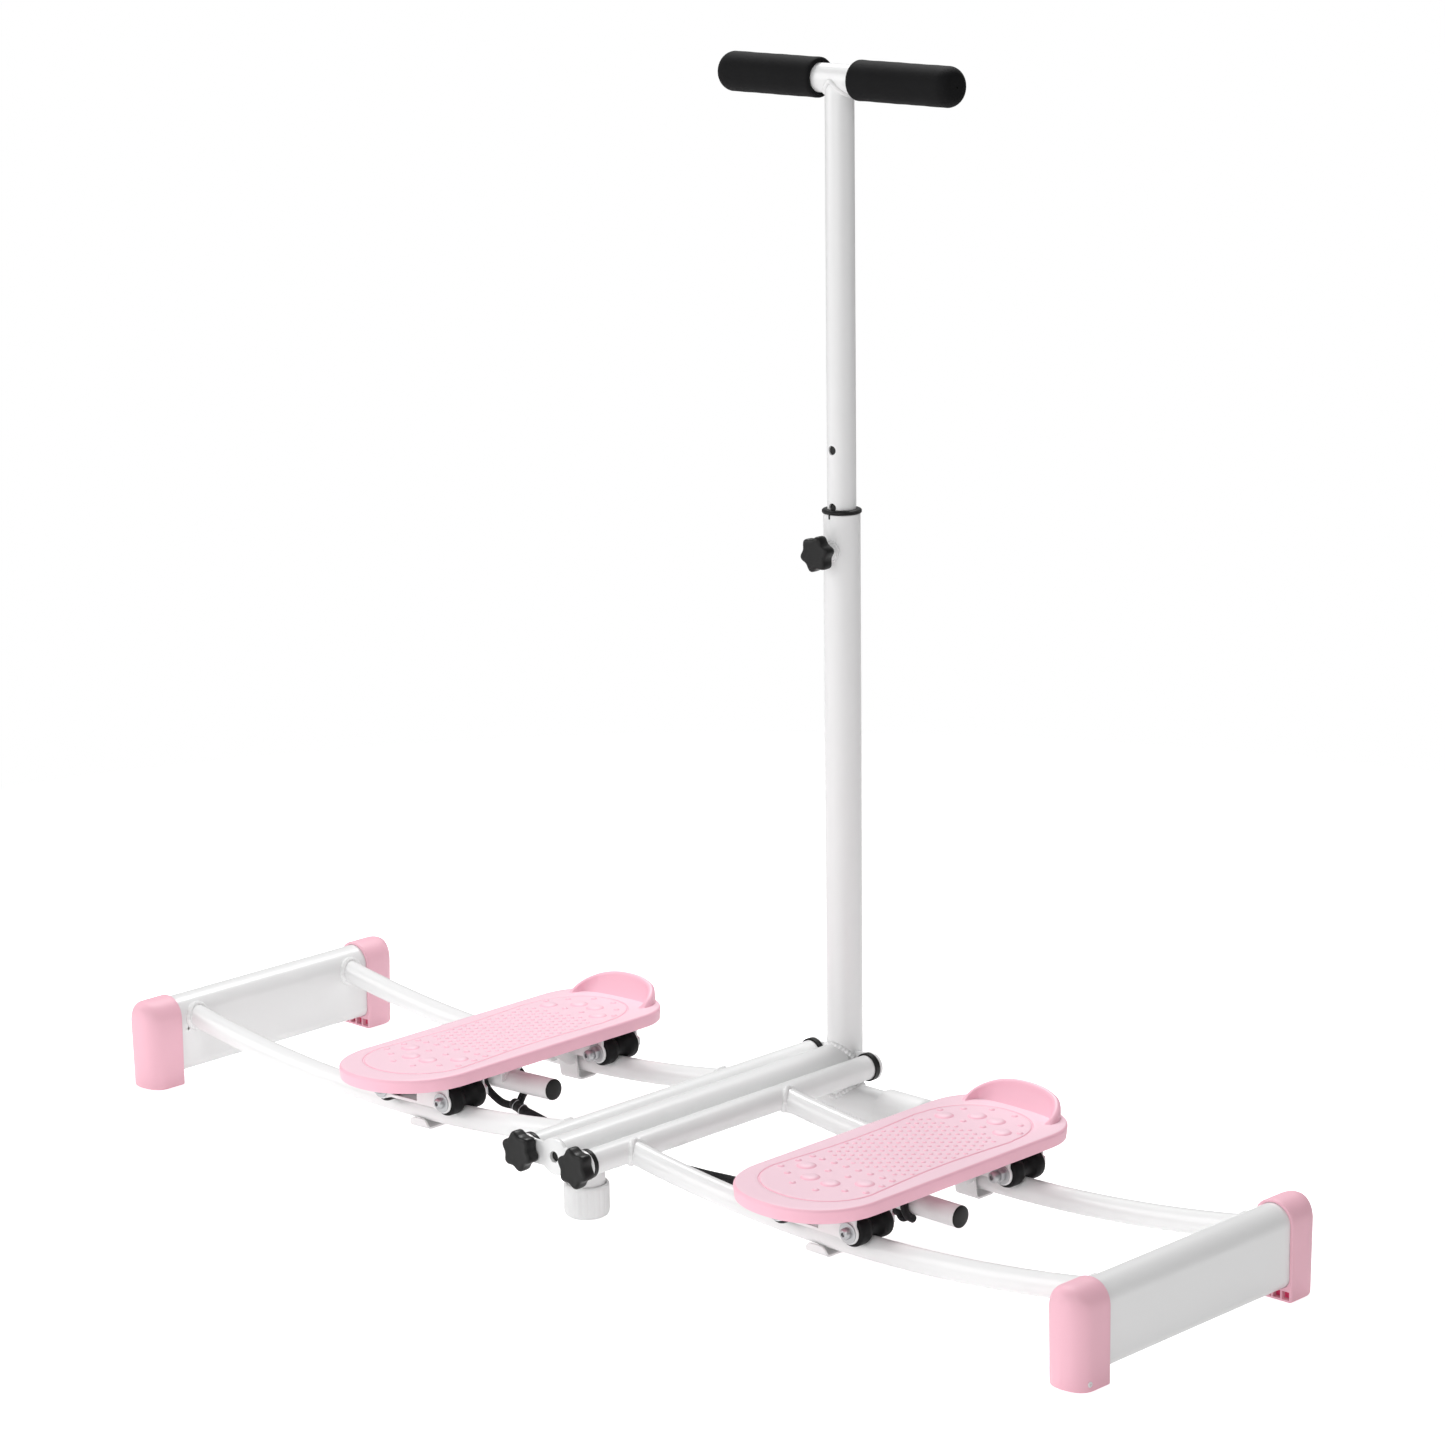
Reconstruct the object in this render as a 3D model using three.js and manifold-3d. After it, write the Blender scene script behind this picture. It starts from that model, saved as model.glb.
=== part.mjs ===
// Lateral glide leg trainer: two pedals roll side to side on curved rails.
// Millimetres, +Z up, floor at z = 0, glide direction along X, handle post on the +Y side.
// Distances along Y are counted from midway between the rails; place() then moves every
// piece so that the origin lies under the middle of the whole machine.
import * as THREE from "three";
import { mergeVertices } from "three/addons/utils/BufferGeometryUtils.js";
import Module from "manifold-3d";

const wasm = await Module();
wasm.setup();

// ---------------------------------------------------------------- dimensions
const GAP = 0.3;
const MIDDLE_Y = 32;
const ROUND = 16;
const SMALL_ROUND = 10;

// centre beam, front foot and front plate
const BEAM_R = 16;
const BEAM_WALL = 2;
const BEAM_Z = 60;
const PLATE_T = 3;
const FRONT_Y = -146;
const FOOT_Y = -112;
const FOOT_R = 19.2;
const FOOT_H = 29;
const FOOT_FLOOR = 3;
const FOOT_BEVEL = 2.5;
const ARM_HALF = 10.5;

// upright post and rear stabiliser
const POST_Y = 209.5;
const POST_R = 16;
const POST_BORE = 14.2;
const POST_TOP = 550;
const COLLAR_H = 6.5;
const STAB_Z = 20.5;
const STAB_R = 17.5;
const STAB_CAP_R = 20.5;
const STAB_CAP_START = 49.5;
const STAB_CAP_END = 97;
const STAB_FOOT_HALF = 15;
const KNOB_Z = 518.5;
const BOSS_R = 7;
const BOSS_REACH = 9;
const EAR_Y = 206;
const EAR_T = 3;
const PIN_REACH = 18;

// telescopic handle
const MAST_R = 12.5;
const MAST_WALL = 1.6;
const MAST_BOTTOM = 380;
const HANDLE_Z = 920;
const HANDLE_HALF = 125.5;
const GRIP_R = 17.3;
const GRIP_START = 21;
const GRIP_END = 130.5;
const HOLE_R = 3.5;
const HOLE_TOP = 605.5;
const HOLE_PITCH = 50.3;
const HOLE_COUNT = 4;

// folding side frames
const HINGE_X = 33;
const HINGE_R = 11;
const HINGE_BORE = 9.2;
const PIVOT_R = 4;
const FLANGE_R = 12.6;
const FLANGE_T = 2.7;
const RAIL_Y = 93.5;
const RAIL_R = 10;
const RAIL_WALL = 1.8;
const ARC_X = 276;
const ARC_Z = 1514.2;
const ARC_R = 1474.4;
const END_X = 542;
const END_HALF_WIDTH = 16.5;
const END_BOTTOM = 10.3;
const END_TOP = 79.3;
const END_CORNER = 10;
const CAP_HALF_WIDTH = 19;
const CAP_TOP = 81.8;
const CAP_INNER_Y = 113;
const CAP_OUTER_Y = 151;
const CAP_CORNER = 17;
const CAP_WALL = 3;
const BEAM_END_Y = CAP_OUTER_Y - CAP_CORNER;
const CELL_COUNT = 4;
const CELL_FLOOR = 1.5;
const CELL_TOP = 8.2;
const CELL_RIB = 1.6;
const CELL_EDGE = 2.3;
const CELL_END = 16;

// carriages, measured from the rail centre line under the middle of the carriage
const CARRIAGE_LEFT = -208.5;
const CARRIAGE_RIGHT = 260.5;
const AXLE_X = 39;
const AXLE_Z = 18.5;
const AXLE_OVER_RAIL = 18;
const ROLLER_R = 12.8;
const ROLLER_HALF = 21.5;
const ROLLER_CLEAR = 0.6;
const BRACKET_T = 2;
const BRACKET_TOP = 33.4;
const BRACKET_WEB = 1.6;
const CHANNEL_X = -10;
const CHANNEL_HALF = 12;
const CROSSBAR_Z = 4.2;
const CROSSBAR_R = 9.5;
const CROSSBAR_BORE = 7.9;
const CROSSBAR_X0 = -70;
const CROSSBAR_X1 = 52;
const CORD_R = 3.25;
const CORD_X = 5.8;
const BRACKET_END = 9;
const HOOK_CLEAR = 2.5;
const HOOK_TIP = 6;
const HOOK_LOW = -19;
const FLANGE_LOW = 0;
const FLANGE_HIGH = 20;
const FLANGE_CROSS = 12;
const FLANGE_SLOPE = 44;
const FLANGE_TOE = 8;

// pedals
const PEDAL_X = -9.5;
const PEDAL_HALF_WIDTH = 66;
const PEDAL_HEEL_Y = -166;
const PEDAL_TOE_Y = 163.5;
const PEDAL_HEEL_ROUND = 63;
const PEDAL_TOE_ROUND = 52;
const PEDAL_BOTTOM = 33.7;
const PEDAL_TOP = 45.5;
const HEEL_POWER = 2.2;
const TOE_POWER = 2.4;
const LIP_TOP = 64;
const LIP_START_Y = 130;
const LIP_POWER = 0.8;
const LIP_T = 8;
const PEDAL_SKIN = 3;
const RIB_HALF = 1.2;
const RIB_ROWS = [-163, -124, -66, 0, 66, 122, 160];

// ---------------------------------------------------------------- materials
function material(name, colour, roughness, metalness) {
  const made = new THREE.MeshStandardMaterial({ color: colour, roughness, metalness });
  made.name = name;
  return made;
}
const whitePaint = () => material("white_paint", 0xe6e6e6, 0.35, 0.0);
const pinkPlastic = () => material("pink_plastic", 0xf3aec4, 0.5, 0.0);
const blackPlastic = () => material("black_plastic", 0x1a1a1a, 0.5, 0.0);
const blackFoam = () => material("black_foam", 0x222222, 0.9, 0.0);
const whiteRubber = () => material("white_rubber", 0xd2d2d2, 0.7, 0.0);
const zincSteel = () => material("zinc_steel", 0xb8bcc0, 0.3, 1.0);
const blackCord = () => material("black_cord", 0x161616, 0.85, 0.0);

// ---------------------------------------------------------------- helpers
function solid(geometry) {
  const bare = geometry.index ? geometry.toNonIndexed() : geometry.clone();
  bare.deleteAttribute("normal");
  bare.deleteAttribute("uv");
  const merged = mergeVertices(bare, 1e-4);
  return new wasm.Manifold(new wasm.Mesh({
    numProp: 3,
    vertProperties: new Float32Array(merged.attributes.position.array),
    triVerts: new Uint32Array(merged.index.array),
  }));
}

function geometryOf(manifold) {
  const mesh = manifold.getMesh();
  const geometry = new THREE.BufferGeometry();
  geometry.setAttribute("position", new THREE.BufferAttribute(new Float32Array(mesh.vertProperties), 3));
  geometry.setIndex(new THREE.BufferAttribute(new Uint32Array(mesh.triVerts), 1));
  return geometry;
}

function box(x0, x1, y0, y1, z0, z1) {
  const geometry = new THREE.BoxGeometry(x1 - x0, y1 - y0, z1 - z0);
  geometry.translate((x0 + x1) / 2, (y0 + y1) / 2, (z0 + z1) / 2);
  return solid(geometry);
}

// A straight round bar along one axis from a to b; the other two coordinates are p and q.
function bar(axis, radius, a, b, p, q, segments = ROUND) {
  const geometry = new THREE.CylinderGeometry(radius, radius, b - a, segments);
  const middle = (a + b) / 2;
  if (axis === "x") {
    geometry.rotateZ(-Math.PI / 2);
    geometry.translate(middle, p, q);
  } else if (axis === "y") {
    geometry.translate(p, middle, q);
  } else {
    geometry.rotateX(Math.PI / 2);
    geometry.translate(p, q, middle);
  }
  return solid(geometry);
}

// A turned solid: points are [radius, distance along the axis] and close on the axis or on themselves.
function turned(points, axis, segments = ROUND) {
  const closed = points[0][0] === 0 ? points : [...points, points[0]];
  const outline = closed.map(([radius, along]) => new THREE.Vector2(radius, along));
  const geometry = new THREE.LatheGeometry(outline, segments);
  if (axis === "x") {
    geometry.rotateZ(-Math.PI / 2);
  } else if (axis === "z") {
    geometry.rotateX(Math.PI / 2);
  }
  return outward(solid(geometry), geometry);
}

// A lathe whose outline runs the other way round comes out inside out; turn it the right way.
function outward(made, geometry) {
  if (made.volume() > 0) {
    return made;
  }
  const flipped = geometry.toNonIndexed();
  const position = flipped.attributes.position;
  for (let i = 0; i < position.count; i += 3) {
    const x = position.getX(i);
    const y = position.getY(i);
    const z = position.getZ(i);
    position.setXYZ(i, position.getX(i + 1), position.getY(i + 1), position.getZ(i + 1));
    position.setXYZ(i + 1, x, y, z);
  }
  return solid(flipped);
}

// A flat shape drawn in X and Z, pushed from y0 to y1.
function pushedY(shape, y0, y1, curveSegments = 5) {
  const geometry = new THREE.ExtrudeGeometry(shape, { depth: y1 - y0, bevelEnabled: false, curveSegments });
  geometry.rotateX(Math.PI / 2);
  geometry.translate(0, y1, 0);
  return solid(geometry);
}

// A flat shape drawn in Y and Z, pushed from x0 to x1.
function pushedX(points, x0, x1) {
  const shape = new THREE.Shape(points.map(([y, z]) => new THREE.Vector2(y, z)));
  const geometry = new THREE.ExtrudeGeometry(shape, { depth: x1 - x0, bevelEnabled: false });
  geometry.applyMatrix4(new THREE.Matrix4().set(0, 0, 1, x0, 1, 0, 0, 0, 0, 1, 0, 0, 0, 0, 0, 1));
  return solid(geometry);
}

// A flat shape drawn in X and Y, pushed from z0 to z1.
function pushedZ(shape, z0, z1, curveSegments = 5) {
  const geometry = new THREE.ExtrudeGeometry(shape, { depth: z1 - z0, bevelEnabled: false, curveSegments });
  geometry.translate(0, 0, z0);
  return solid(geometry);
}

// A round bar swept along a list of points.
function swept(points, radius, segments, steps) {
  const path = new THREE.CatmullRomCurve3(points.map((p) => new THREE.Vector3(...p)));
  const shape = new THREE.Shape();
  for (let i = 0; i < segments; i += 1) {
    const angle = (i / segments) * 2 * Math.PI;
    const x = radius * Math.cos(angle);
    const y = radius * Math.sin(angle);
    if (i === 0) {
      shape.moveTo(x, y);
    } else {
      shape.lineTo(x, y);
    }
  }
  shape.closePath();
  const geometry = new THREE.ExtrudeGeometry(shape, { steps, bevelEnabled: false, extrudePath: path });
  return outward(solid(geometry), geometry);
}

function unionOf(parts) {
  return parts.reduce((whole, part) => whole.add(part));
}

const machine = new THREE.Group();
machine.name = "glide_trainer";

function place(name, made, paint) {
  const mesh = new THREE.Mesh(geometryOf(made.translate([0, -MIDDLE_Y, 0])), paint);
  mesh.name = name;
  machine.add(mesh);
}

// ---------------------------------------------------------------- fixed frame
function centreBeam() {
  const beam = bar("y", BEAM_R, FRONT_Y + GAP, POST_Y - 6, 0, BEAM_Z);
  const stub = bar("z", BEAM_R, FOOT_FLOOR + GAP, BEAM_Z, 0, FOOT_Y);
  const beamBore = bar("y", BEAM_R - BEAM_WALL, FRONT_Y - 1, POST_Y, 0, BEAM_Z);
  const stubBore = bar("z", BEAM_R - BEAM_WALL, 0, BEAM_Z, 0, FOOT_Y);
  const post = bar("z", POST_R + GAP, 0, BEAM_Z * 2, 0, POST_Y);
  return beam.add(stub).subtract(beamBore).subtract(stubBore).subtract(post);
}

function frontPlate() {
  const back = FRONT_Y;
  const front = FRONT_Y - PLATE_T;
  const lobe = bar("y", BEAM_R, front, back, 0, BEAM_Z);
  const arm = box(-HINGE_X, HINGE_X, front, back, BEAM_Z - ARM_HALF, BEAM_Z + ARM_HALF);
  const ends = [-HINGE_X, HINGE_X].map((x) => bar("y", FLANGE_R, front, back, x, BEAM_Z));
  const holes = [-HINGE_X, 0, HINGE_X].map((x) => {
    return bar("y", PIVOT_R + GAP, front - 1, back + 1, x, BEAM_Z, SMALL_ROUND);
  });
  return unionOf([lobe, arm, ...ends]).subtract(unionOf(holes));
}

function footCap() {
  const bore = BEAM_R + GAP;
  const made = turned([
    [0, 0],
    [FOOT_R - FOOT_BEVEL, 0],
    [FOOT_R, FOOT_BEVEL],
    [FOOT_R, FOOT_H],
    [bore, FOOT_H],
    [bore, FOOT_FLOOR],
    [0, FOOT_FLOOR],
  ], "z");
  return made.translate([0, FOOT_Y, 0]);
}

// The post carries the nut of the height knob and the two rear ears with their hinge pins.
function lowerPost() {
  const rear = EAR_Y + EAR_T;
  const front = POST_Y - POST_R;
  const sides = [-HINGE_X, HINGE_X];
  const tube = bar("z", POST_R, STAB_Z, POST_TOP, 0, POST_Y);
  const boss = bar("y", BOSS_R, front - BOSS_REACH, front + 2, 0, KNOB_Z, SMALL_ROUND);
  const arm = box(-HINGE_X, HINGE_X, EAR_Y, rear, BEAM_Z - ARM_HALF, BEAM_Z + ARM_HALF);
  const ends = sides.map((x) => bar("y", FLANGE_R, EAR_Y, rear, x, BEAM_Z));
  const pins = sides.map((x) => bar("y", PIVOT_R, EAR_Y - PIN_REACH, rear, x, BEAM_Z, SMALL_ROUND));
  const bore = bar("z", POST_BORE, 0, POST_TOP + 1, 0, POST_Y);
  const thread = bar("y", PIVOT_R + GAP, front - BOSS_REACH - 1, POST_Y, 0, KNOB_Z, SMALL_ROUND);
  const saddle = bar("x", STAB_R + GAP, -2 * POST_R, 2 * POST_R, POST_Y, STAB_Z);
  return unionOf([tube, boss, arm, ...ends, ...pins]).subtract(bore).subtract(thread).subtract(saddle);
}

function postCollar() {
  const bore = MAST_R + GAP;
  const skirt = 15;
  const made = turned([
    [bore, POST_TOP - skirt],
    [POST_BORE - GAP, POST_TOP - skirt],
    [POST_BORE - GAP, POST_TOP + GAP],
    [POST_R, POST_TOP + GAP],
    [POST_R, POST_TOP + COLLAR_H],
    [bore, POST_TOP + COLLAR_H],
  ], "z");
  return made.translate([0, POST_Y, 0]);
}

function stabiliserTube() {
  const half = STAB_CAP_END - (STAB_CAP_R - STAB_R) - 1;
  const tube = bar("x", STAB_R, -half, half, POST_Y, STAB_Z);
  const bore = bar("x", STAB_R - BEAM_WALL, -half - 1, half + 1, POST_Y, STAB_Z);
  return tube.subtract(bore);
}

function stabiliserCap(side) {
  const bevel = 5;
  const wall = STAB_CAP_R - STAB_R;
  const footFront = POST_Y - STAB_FOOT_HALF;
  const footRear = POST_Y + STAB_FOOT_HALF;
  const sleeve = turned([
    [0, STAB_CAP_START],
    [STAB_CAP_R, STAB_CAP_START],
    [STAB_CAP_R, STAB_CAP_END - bevel],
    [STAB_CAP_R - bevel / 3, STAB_CAP_END - bevel / 3],
    [STAB_CAP_R - bevel, STAB_CAP_END],
    [0, STAB_CAP_END],
  ], "x").translate([0, POST_Y, STAB_Z]);
  const foot = box(STAB_CAP_START, STAB_CAP_END - bevel, footFront, footRear, 0, STAB_Z);
  const bore = bar("x", STAB_R + GAP, 0, STAB_CAP_END - wall, POST_Y, STAB_Z);
  const made = sleeve.add(foot).subtract(bore);
  return side > 0 ? made : made.mirror([1, 0, 0]);
}

// ---------------------------------------------------------------- handle
function mast() {
  const tube = bar("z", MAST_R, MAST_BOTTOM, HANDLE_Z, 0, POST_Y);
  const bore = bar("z", MAST_R - MAST_WALL, MAST_BOTTOM - 1, HANDLE_Z + 1, 0, POST_Y);
  const saddle = bar("x", MAST_R + GAP, -2 * MAST_R, 2 * MAST_R, POST_Y, HANDLE_Z);
  let made = tube.subtract(bore).subtract(saddle);
  for (let i = 0; i < HOLE_COUNT; i += 1) {
    const z = HOLE_TOP - i * HOLE_PITCH;
    made = made.subtract(bar("y", HOLE_R, POST_Y - MAST_R - 2, POST_Y, 0, z, SMALL_ROUND));
  }
  return made;
}

function handleBar() {
  const tube = bar("x", MAST_R, -HANDLE_HALF, HANDLE_HALF, POST_Y, HANDLE_Z);
  const bore = bar("x", MAST_R - MAST_WALL, -HANDLE_HALF - 1, HANDLE_HALF + 1, POST_Y, HANDLE_Z);
  return tube.subtract(bore);
}

function grip(side) {
  const bore = MAST_R + GAP;
  const edge = 1.5;
  const dome = 9;
  const made = turned([
    [0, HANDLE_HALF + GAP],
    [bore, HANDLE_HALF + GAP],
    [bore, GRIP_START],
    [GRIP_R - edge, GRIP_START],
    [GRIP_R, GRIP_START + edge],
    [GRIP_R, GRIP_END - dome],
    [GRIP_R - 0.28 * dome, GRIP_END - 0.44 * dome],
    [GRIP_R - 0.9 * dome, GRIP_END - 0.09 * dome],
    [0, GRIP_END],
  ], "x");
  const moved = made.translate([0, POST_Y, HANDLE_Z]);
  return side > 0 ? moved : moved.mirror([1, 0, 0]);
}

// A six-lobed knob with a threaded stud, built along Y with its grip towards -Y.
function starKnob(diameter, thickness, studEnd) {
  const lobes = 6;
  const perLobe = 6;
  const lobeDepth = 0.11;
  const shape = new THREE.Shape();
  for (let i = 0; i < lobes * perLobe; i += 1) {
    const angle = (i / (lobes * perLobe)) * 2 * Math.PI;
    const swell = Math.cos(angle * lobes);
    const radius = (diameter / 2) * (1 - lobeDepth + lobeDepth * swell);
    const x = radius * Math.sin(angle);
    const z = radius * Math.cos(angle);
    if (i === 0) {
      shape.moveTo(x, z);
    } else {
      shape.lineTo(x, z);
    }
  }
  shape.closePath();
  const head = pushedY(shape, -thickness, 0);
  const stud = bar("y", PIVOT_R, -1, studEnd, 0, 0, SMALL_ROUND);
  return head.add(stud);
}

// ---------------------------------------------------------------- side frames
function railPoint(x) {
  const fromMiddle = x - ARC_X;
  return ARC_Z - Math.sqrt(ARC_R * ARC_R - fromMiddle * fromMiddle);
}

function hingeTube(side) {
  const y0 = FRONT_Y + GAP + FLANGE_T + GAP;
  const y1 = EAR_Y - GAP - FLANGE_T - GAP;
  const tube = bar("y", HINGE_R, y0, y1, side * HINGE_X, BEAM_Z);
  const bore = bar("y", HINGE_BORE, y0 - 1, y1 + 1, side * HINGE_X, BEAM_Z);
  return tube.subtract(bore);
}

function bushing(side, front) {
  const depth = 15;
  const made = turned([
    [PIVOT_R + GAP, 0],
    [FLANGE_R, 0],
    [FLANGE_R, FLANGE_T],
    [HINGE_BORE - GAP, FLANGE_T],
    [HINGE_BORE - GAP, depth],
    [PIVOT_R + GAP, depth],
  ], "y", SMALL_ROUND + 2);
  const turnedRound = front ? made : made.mirror([0, 1, 0]);
  const y = front ? FRONT_Y + GAP : EAR_Y - GAP;
  return turnedRound.translate([side * HINGE_X, y, BEAM_Z]);
}

function rail(side, y) {
  const segments = 12;
  const steps = 10;
  const reach = 30;
  const points = [];
  const from = HINGE_X + 3;
  const to = END_X - END_HALF_WIDTH / 2;
  for (let i = 0; i <= steps; i += 1) {
    const x = from + ((to - from) * i) / steps;
    points.push([x, y, railPoint(x)]);
  }
  const inner = [[from - 4, y, railPoint(from - 4)], ...points, [to + 4, y, railPoint(to + 4)]];
  const tube = swept(points, RAIL_R, segments, steps);
  const bore = swept(inner, RAIL_R - RAIL_WALL, segments, steps);
  const hinge = bar("y", HINGE_R + GAP, y - reach, y + reach, HINGE_X, BEAM_Z);
  const face = END_X - END_HALF_WIDTH - GAP;
  const end = box(face, END_X + reach, y - reach, y + reach, 0, 2 * BEAM_Z);
  const made = tube.subtract(bore).subtract(hinge).subtract(end);
  return side > 0 ? made : made.mirror([1, 0, 0]);
}

// Rounded-top, soft-cornered section of the end beams, drawn in X and Z.
function loafShape(halfWidth, bottom, top, corner) {
  const shape = new THREE.Shape();
  shape.moveTo(-halfWidth + corner, bottom);
  shape.lineTo(halfWidth - corner, bottom);
  if (corner > 0) {
    shape.absarc(halfWidth - corner, bottom + corner, corner, -Math.PI / 2, 0, false);
  }
  shape.lineTo(halfWidth, top - halfWidth);
  shape.absarc(0, top - halfWidth, halfWidth, 0, Math.PI, false);
  shape.lineTo(-halfWidth, bottom + corner);
  if (corner > 0) {
    shape.absarc(-halfWidth + corner, bottom + corner, corner, Math.PI, 1.5 * Math.PI, false);
  }
  return shape;
}

function loaf(halfWidth, bottom, top, corner, y0, y1) {
  return pushedY(loafShape(halfWidth, bottom, top, corner), y0, y1);
}

function endBeam(side) {
  const half = BEAM_END_Y;
  const wall = 2;
  const outer = loaf(END_HALF_WIDTH, END_BOTTOM, END_TOP, END_CORNER, -half, half);
  const inner = loaf(
    END_HALF_WIDTH - wall,
    END_BOTTOM + wall,
    END_TOP - wall,
    END_CORNER - wall,
    -half - 1,
    half + 1,
  );
  return outer.subtract(inner).translate([side * END_X, 0, 0]);
}

// Seen from above an end cap is straight-sided with a rounded nose.
function capPlan(inset) {
  const half = CAP_HALF_WIDTH - inset;
  const corner = CAP_CORNER - inset;
  const cornerY = CAP_OUTER_Y - CAP_CORNER;
  const plan = new THREE.Shape();
  plan.moveTo(-half, CAP_INNER_Y);
  plan.lineTo(half, CAP_INNER_Y);
  plan.lineTo(half, cornerY);
  plan.absarc(half - corner, cornerY, corner, 0, Math.PI / 2, false);
  plan.absarc(-half + corner, cornerY, corner, Math.PI / 2, Math.PI, false);
  return plan;
}

function endCap(side, end) {
  const half = END_HALF_WIDTH + GAP;
  const low = END_BOTTOM - GAP;
  const high = END_TOP + GAP;
  const block = pushedZ(capPlan(0), 0, CAP_TOP + 1);
  const hull = loaf(CAP_HALF_WIDTH, 0, CAP_TOP, 0, CAP_INNER_Y - 1, CAP_OUTER_Y + 1);
  const pocket = loaf(half, low, high, END_CORNER, CAP_INNER_Y - 2, BEAM_END_Y + GAP);
  const noseRoom = pushedZ(capPlan(CAP_WALL), 0, CAP_TOP + 1);
  const nosePocket = loaf(half - CAP_WALL, low, high - CAP_WALL, END_CORNER, BEAM_END_Y, CAP_OUTER_Y);
  let made = block.intersect(hull).subtract(pocket).subtract(nosePocket.intersect(noseRoom));
  const cellPitch = (2 * (CAP_HALF_WIDTH - CELL_EDGE) + CELL_RIB) / CELL_COUNT;
  const cellEnd = CAP_OUTER_Y - CELL_END;
  for (let i = 0; i < CELL_COUNT; i += 1) {
    const x = -CAP_HALF_WIDTH + CELL_EDGE + i * cellPitch;
    made = made.subtract(box(x, x + cellPitch - CELL_RIB, CAP_INNER_Y - 1, cellEnd, CELL_FLOOR, CELL_TOP));
  }
  const turnedRound = end > 0 ? made : made.mirror([0, 1, 0]);
  return turnedRound.translate([side * END_X, 0, 0]);
}

// ---------------------------------------------------------------- carriages
// Carriage parts are built round the lowest point of the rail and then swung along its arc.
function onRail(made, restX) {
  const side = Math.sign(restX);
  const centreX = side * ARC_X;
  const swing = ((centreX - restX) / ARC_R) * (180 / Math.PI);
  return made
    .translate([0, 0, -ARC_R])
    .rotate([0, swing, 0])
    .translate([centreX, 0, ARC_Z]);
}

function pedalPlan(inset) {
  const points = [];
  const steps = 7;
  const halfWidth = PEDAL_HALF_WIDTH - inset;
  const heelRound = PEDAL_HEEL_ROUND;
  const toeRound = PEDAL_TOE_ROUND;
  const heel = PEDAL_HEEL_Y + inset;
  const toe = PEDAL_TOE_Y - inset;
  for (let i = 0; i <= steps; i += 1) {
    const angle = ((i / steps) * Math.PI) / 2;
    const along = Math.cos(angle) ** (2 / HEEL_POWER);
    const across = Math.sin(angle) ** (2 / HEEL_POWER);
    points.push([halfWidth * across, heel + heelRound - heelRound * along]);
  }
  for (let i = 0; i <= steps; i += 1) {
    const angle = ((1 - i / steps) * Math.PI) / 2;
    const along = Math.cos(angle) ** (2 / TOE_POWER);
    const across = Math.sin(angle) ** (2 / TOE_POWER);
    points.push([halfWidth * across, toe - toeRound + toeRound * along]);
  }
  const left = points.slice(1, -1).reverse().map(([x, y]) => [-x, y]);
  return new THREE.Shape([...points, ...left].map(([x, y]) => new THREE.Vector2(x, y)));
}

// Side view of the toe lip: an arch that rises from the tread and is tallest at the toe.
function lipProfile() {
  const steps = 6;
  const low = PEDAL_TOP - 1;
  const run = PEDAL_TOE_Y + 1 - LIP_START_Y;
  const points = [[LIP_START_Y, low], [PEDAL_TOE_Y + 1, low]];
  for (let i = steps; i >= 0; i -= 1) {
    const part = i / steps;
    const rise = (1 - (1 - part) ** 2) ** LIP_POWER;
    points.push([LIP_START_Y + run * part, PEDAL_TOP - 0.5 + (LIP_TOP - PEDAL_TOP + 0.5) * rise]);
  }
  return points;
}

function pedal() {
  const lipLow = PEDAL_TOP - 1;
  const base = pushedZ(pedalPlan(0), PEDAL_BOTTOM, PEDAL_TOP);
  const rim = pushedZ(pedalPlan(0), lipLow, LIP_TOP);
  const ring = rim.subtract(pushedZ(pedalPlan(LIP_T), lipLow - 1, LIP_TOP + 1));
  const wedge = pushedX(lipProfile(), -PEDAL_HALF_WIDTH - 1, PEDAL_HALF_WIDTH + 1);
  const block = base.add(ring.intersect(wedge));
  const hollow = pushedZ(pedalPlan(PEDAL_SKIN), PEDAL_BOTTOM - 1, PEDAL_TOP - PEDAL_SKIN);
  const bays = [];
  for (let i = 0; i + 1 < RIB_ROWS.length; i += 1) {
    const y0 = RIB_ROWS[i] + RIB_HALF;
    const y1 = RIB_ROWS[i + 1] - RIB_HALF;
    bays.push(box(-PEDAL_HALF_WIDTH, -RIB_HALF, y0, y1, 0, PEDAL_TOP));
    bays.push(box(RIB_HALF, PEDAL_HALF_WIDTH, y0, y1, 0, PEDAL_TOP));
  }
  const made = block.subtract(hollow.intersect(unionOf(bays)));
  return made.translate([PEDAL_X, 0, 0]);
}

// One plate across two axles, with round ends, standing square to the axles.
function axlePlate(y0) {
  const y1 = y0 + BRACKET_T;
  const half = AXLE_X + BRACKET_END;
  const axles = [-AXLE_X, AXLE_X];
  const ends = axles.map((x) => bar("y", BRACKET_END, y0, y1, x, AXLE_Z, SMALL_ROUND));
  const web = box(-half, half, y0, y1, AXLE_Z, BRACKET_TOP);
  const tie = box(-AXLE_X, AXLE_X, y0, y1, AXLE_Z - PIVOT_R, BRACKET_TOP);
  const holes = axles.map((x) => bar("y", PIVOT_R + GAP, y0 - 1, y1 + 1, x, AXLE_Z, SMALL_ROUND));
  return unionOf([...ends, web, tie]).subtract(unionOf(holes));
}

function rollerBracket(centreY) {
  const half = AXLE_X + BRACKET_END;
  const y0 = centreY - ROLLER_HALF - BRACKET_T - GAP;
  const y1 = centreY + ROLLER_HALF + GAP;
  const top = box(-half, half, y0, y1 + BRACKET_T, BRACKET_TOP - BRACKET_WEB, BRACKET_TOP);
  return unionOf([axlePlate(y0), axlePlate(y1), top]);
}

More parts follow.
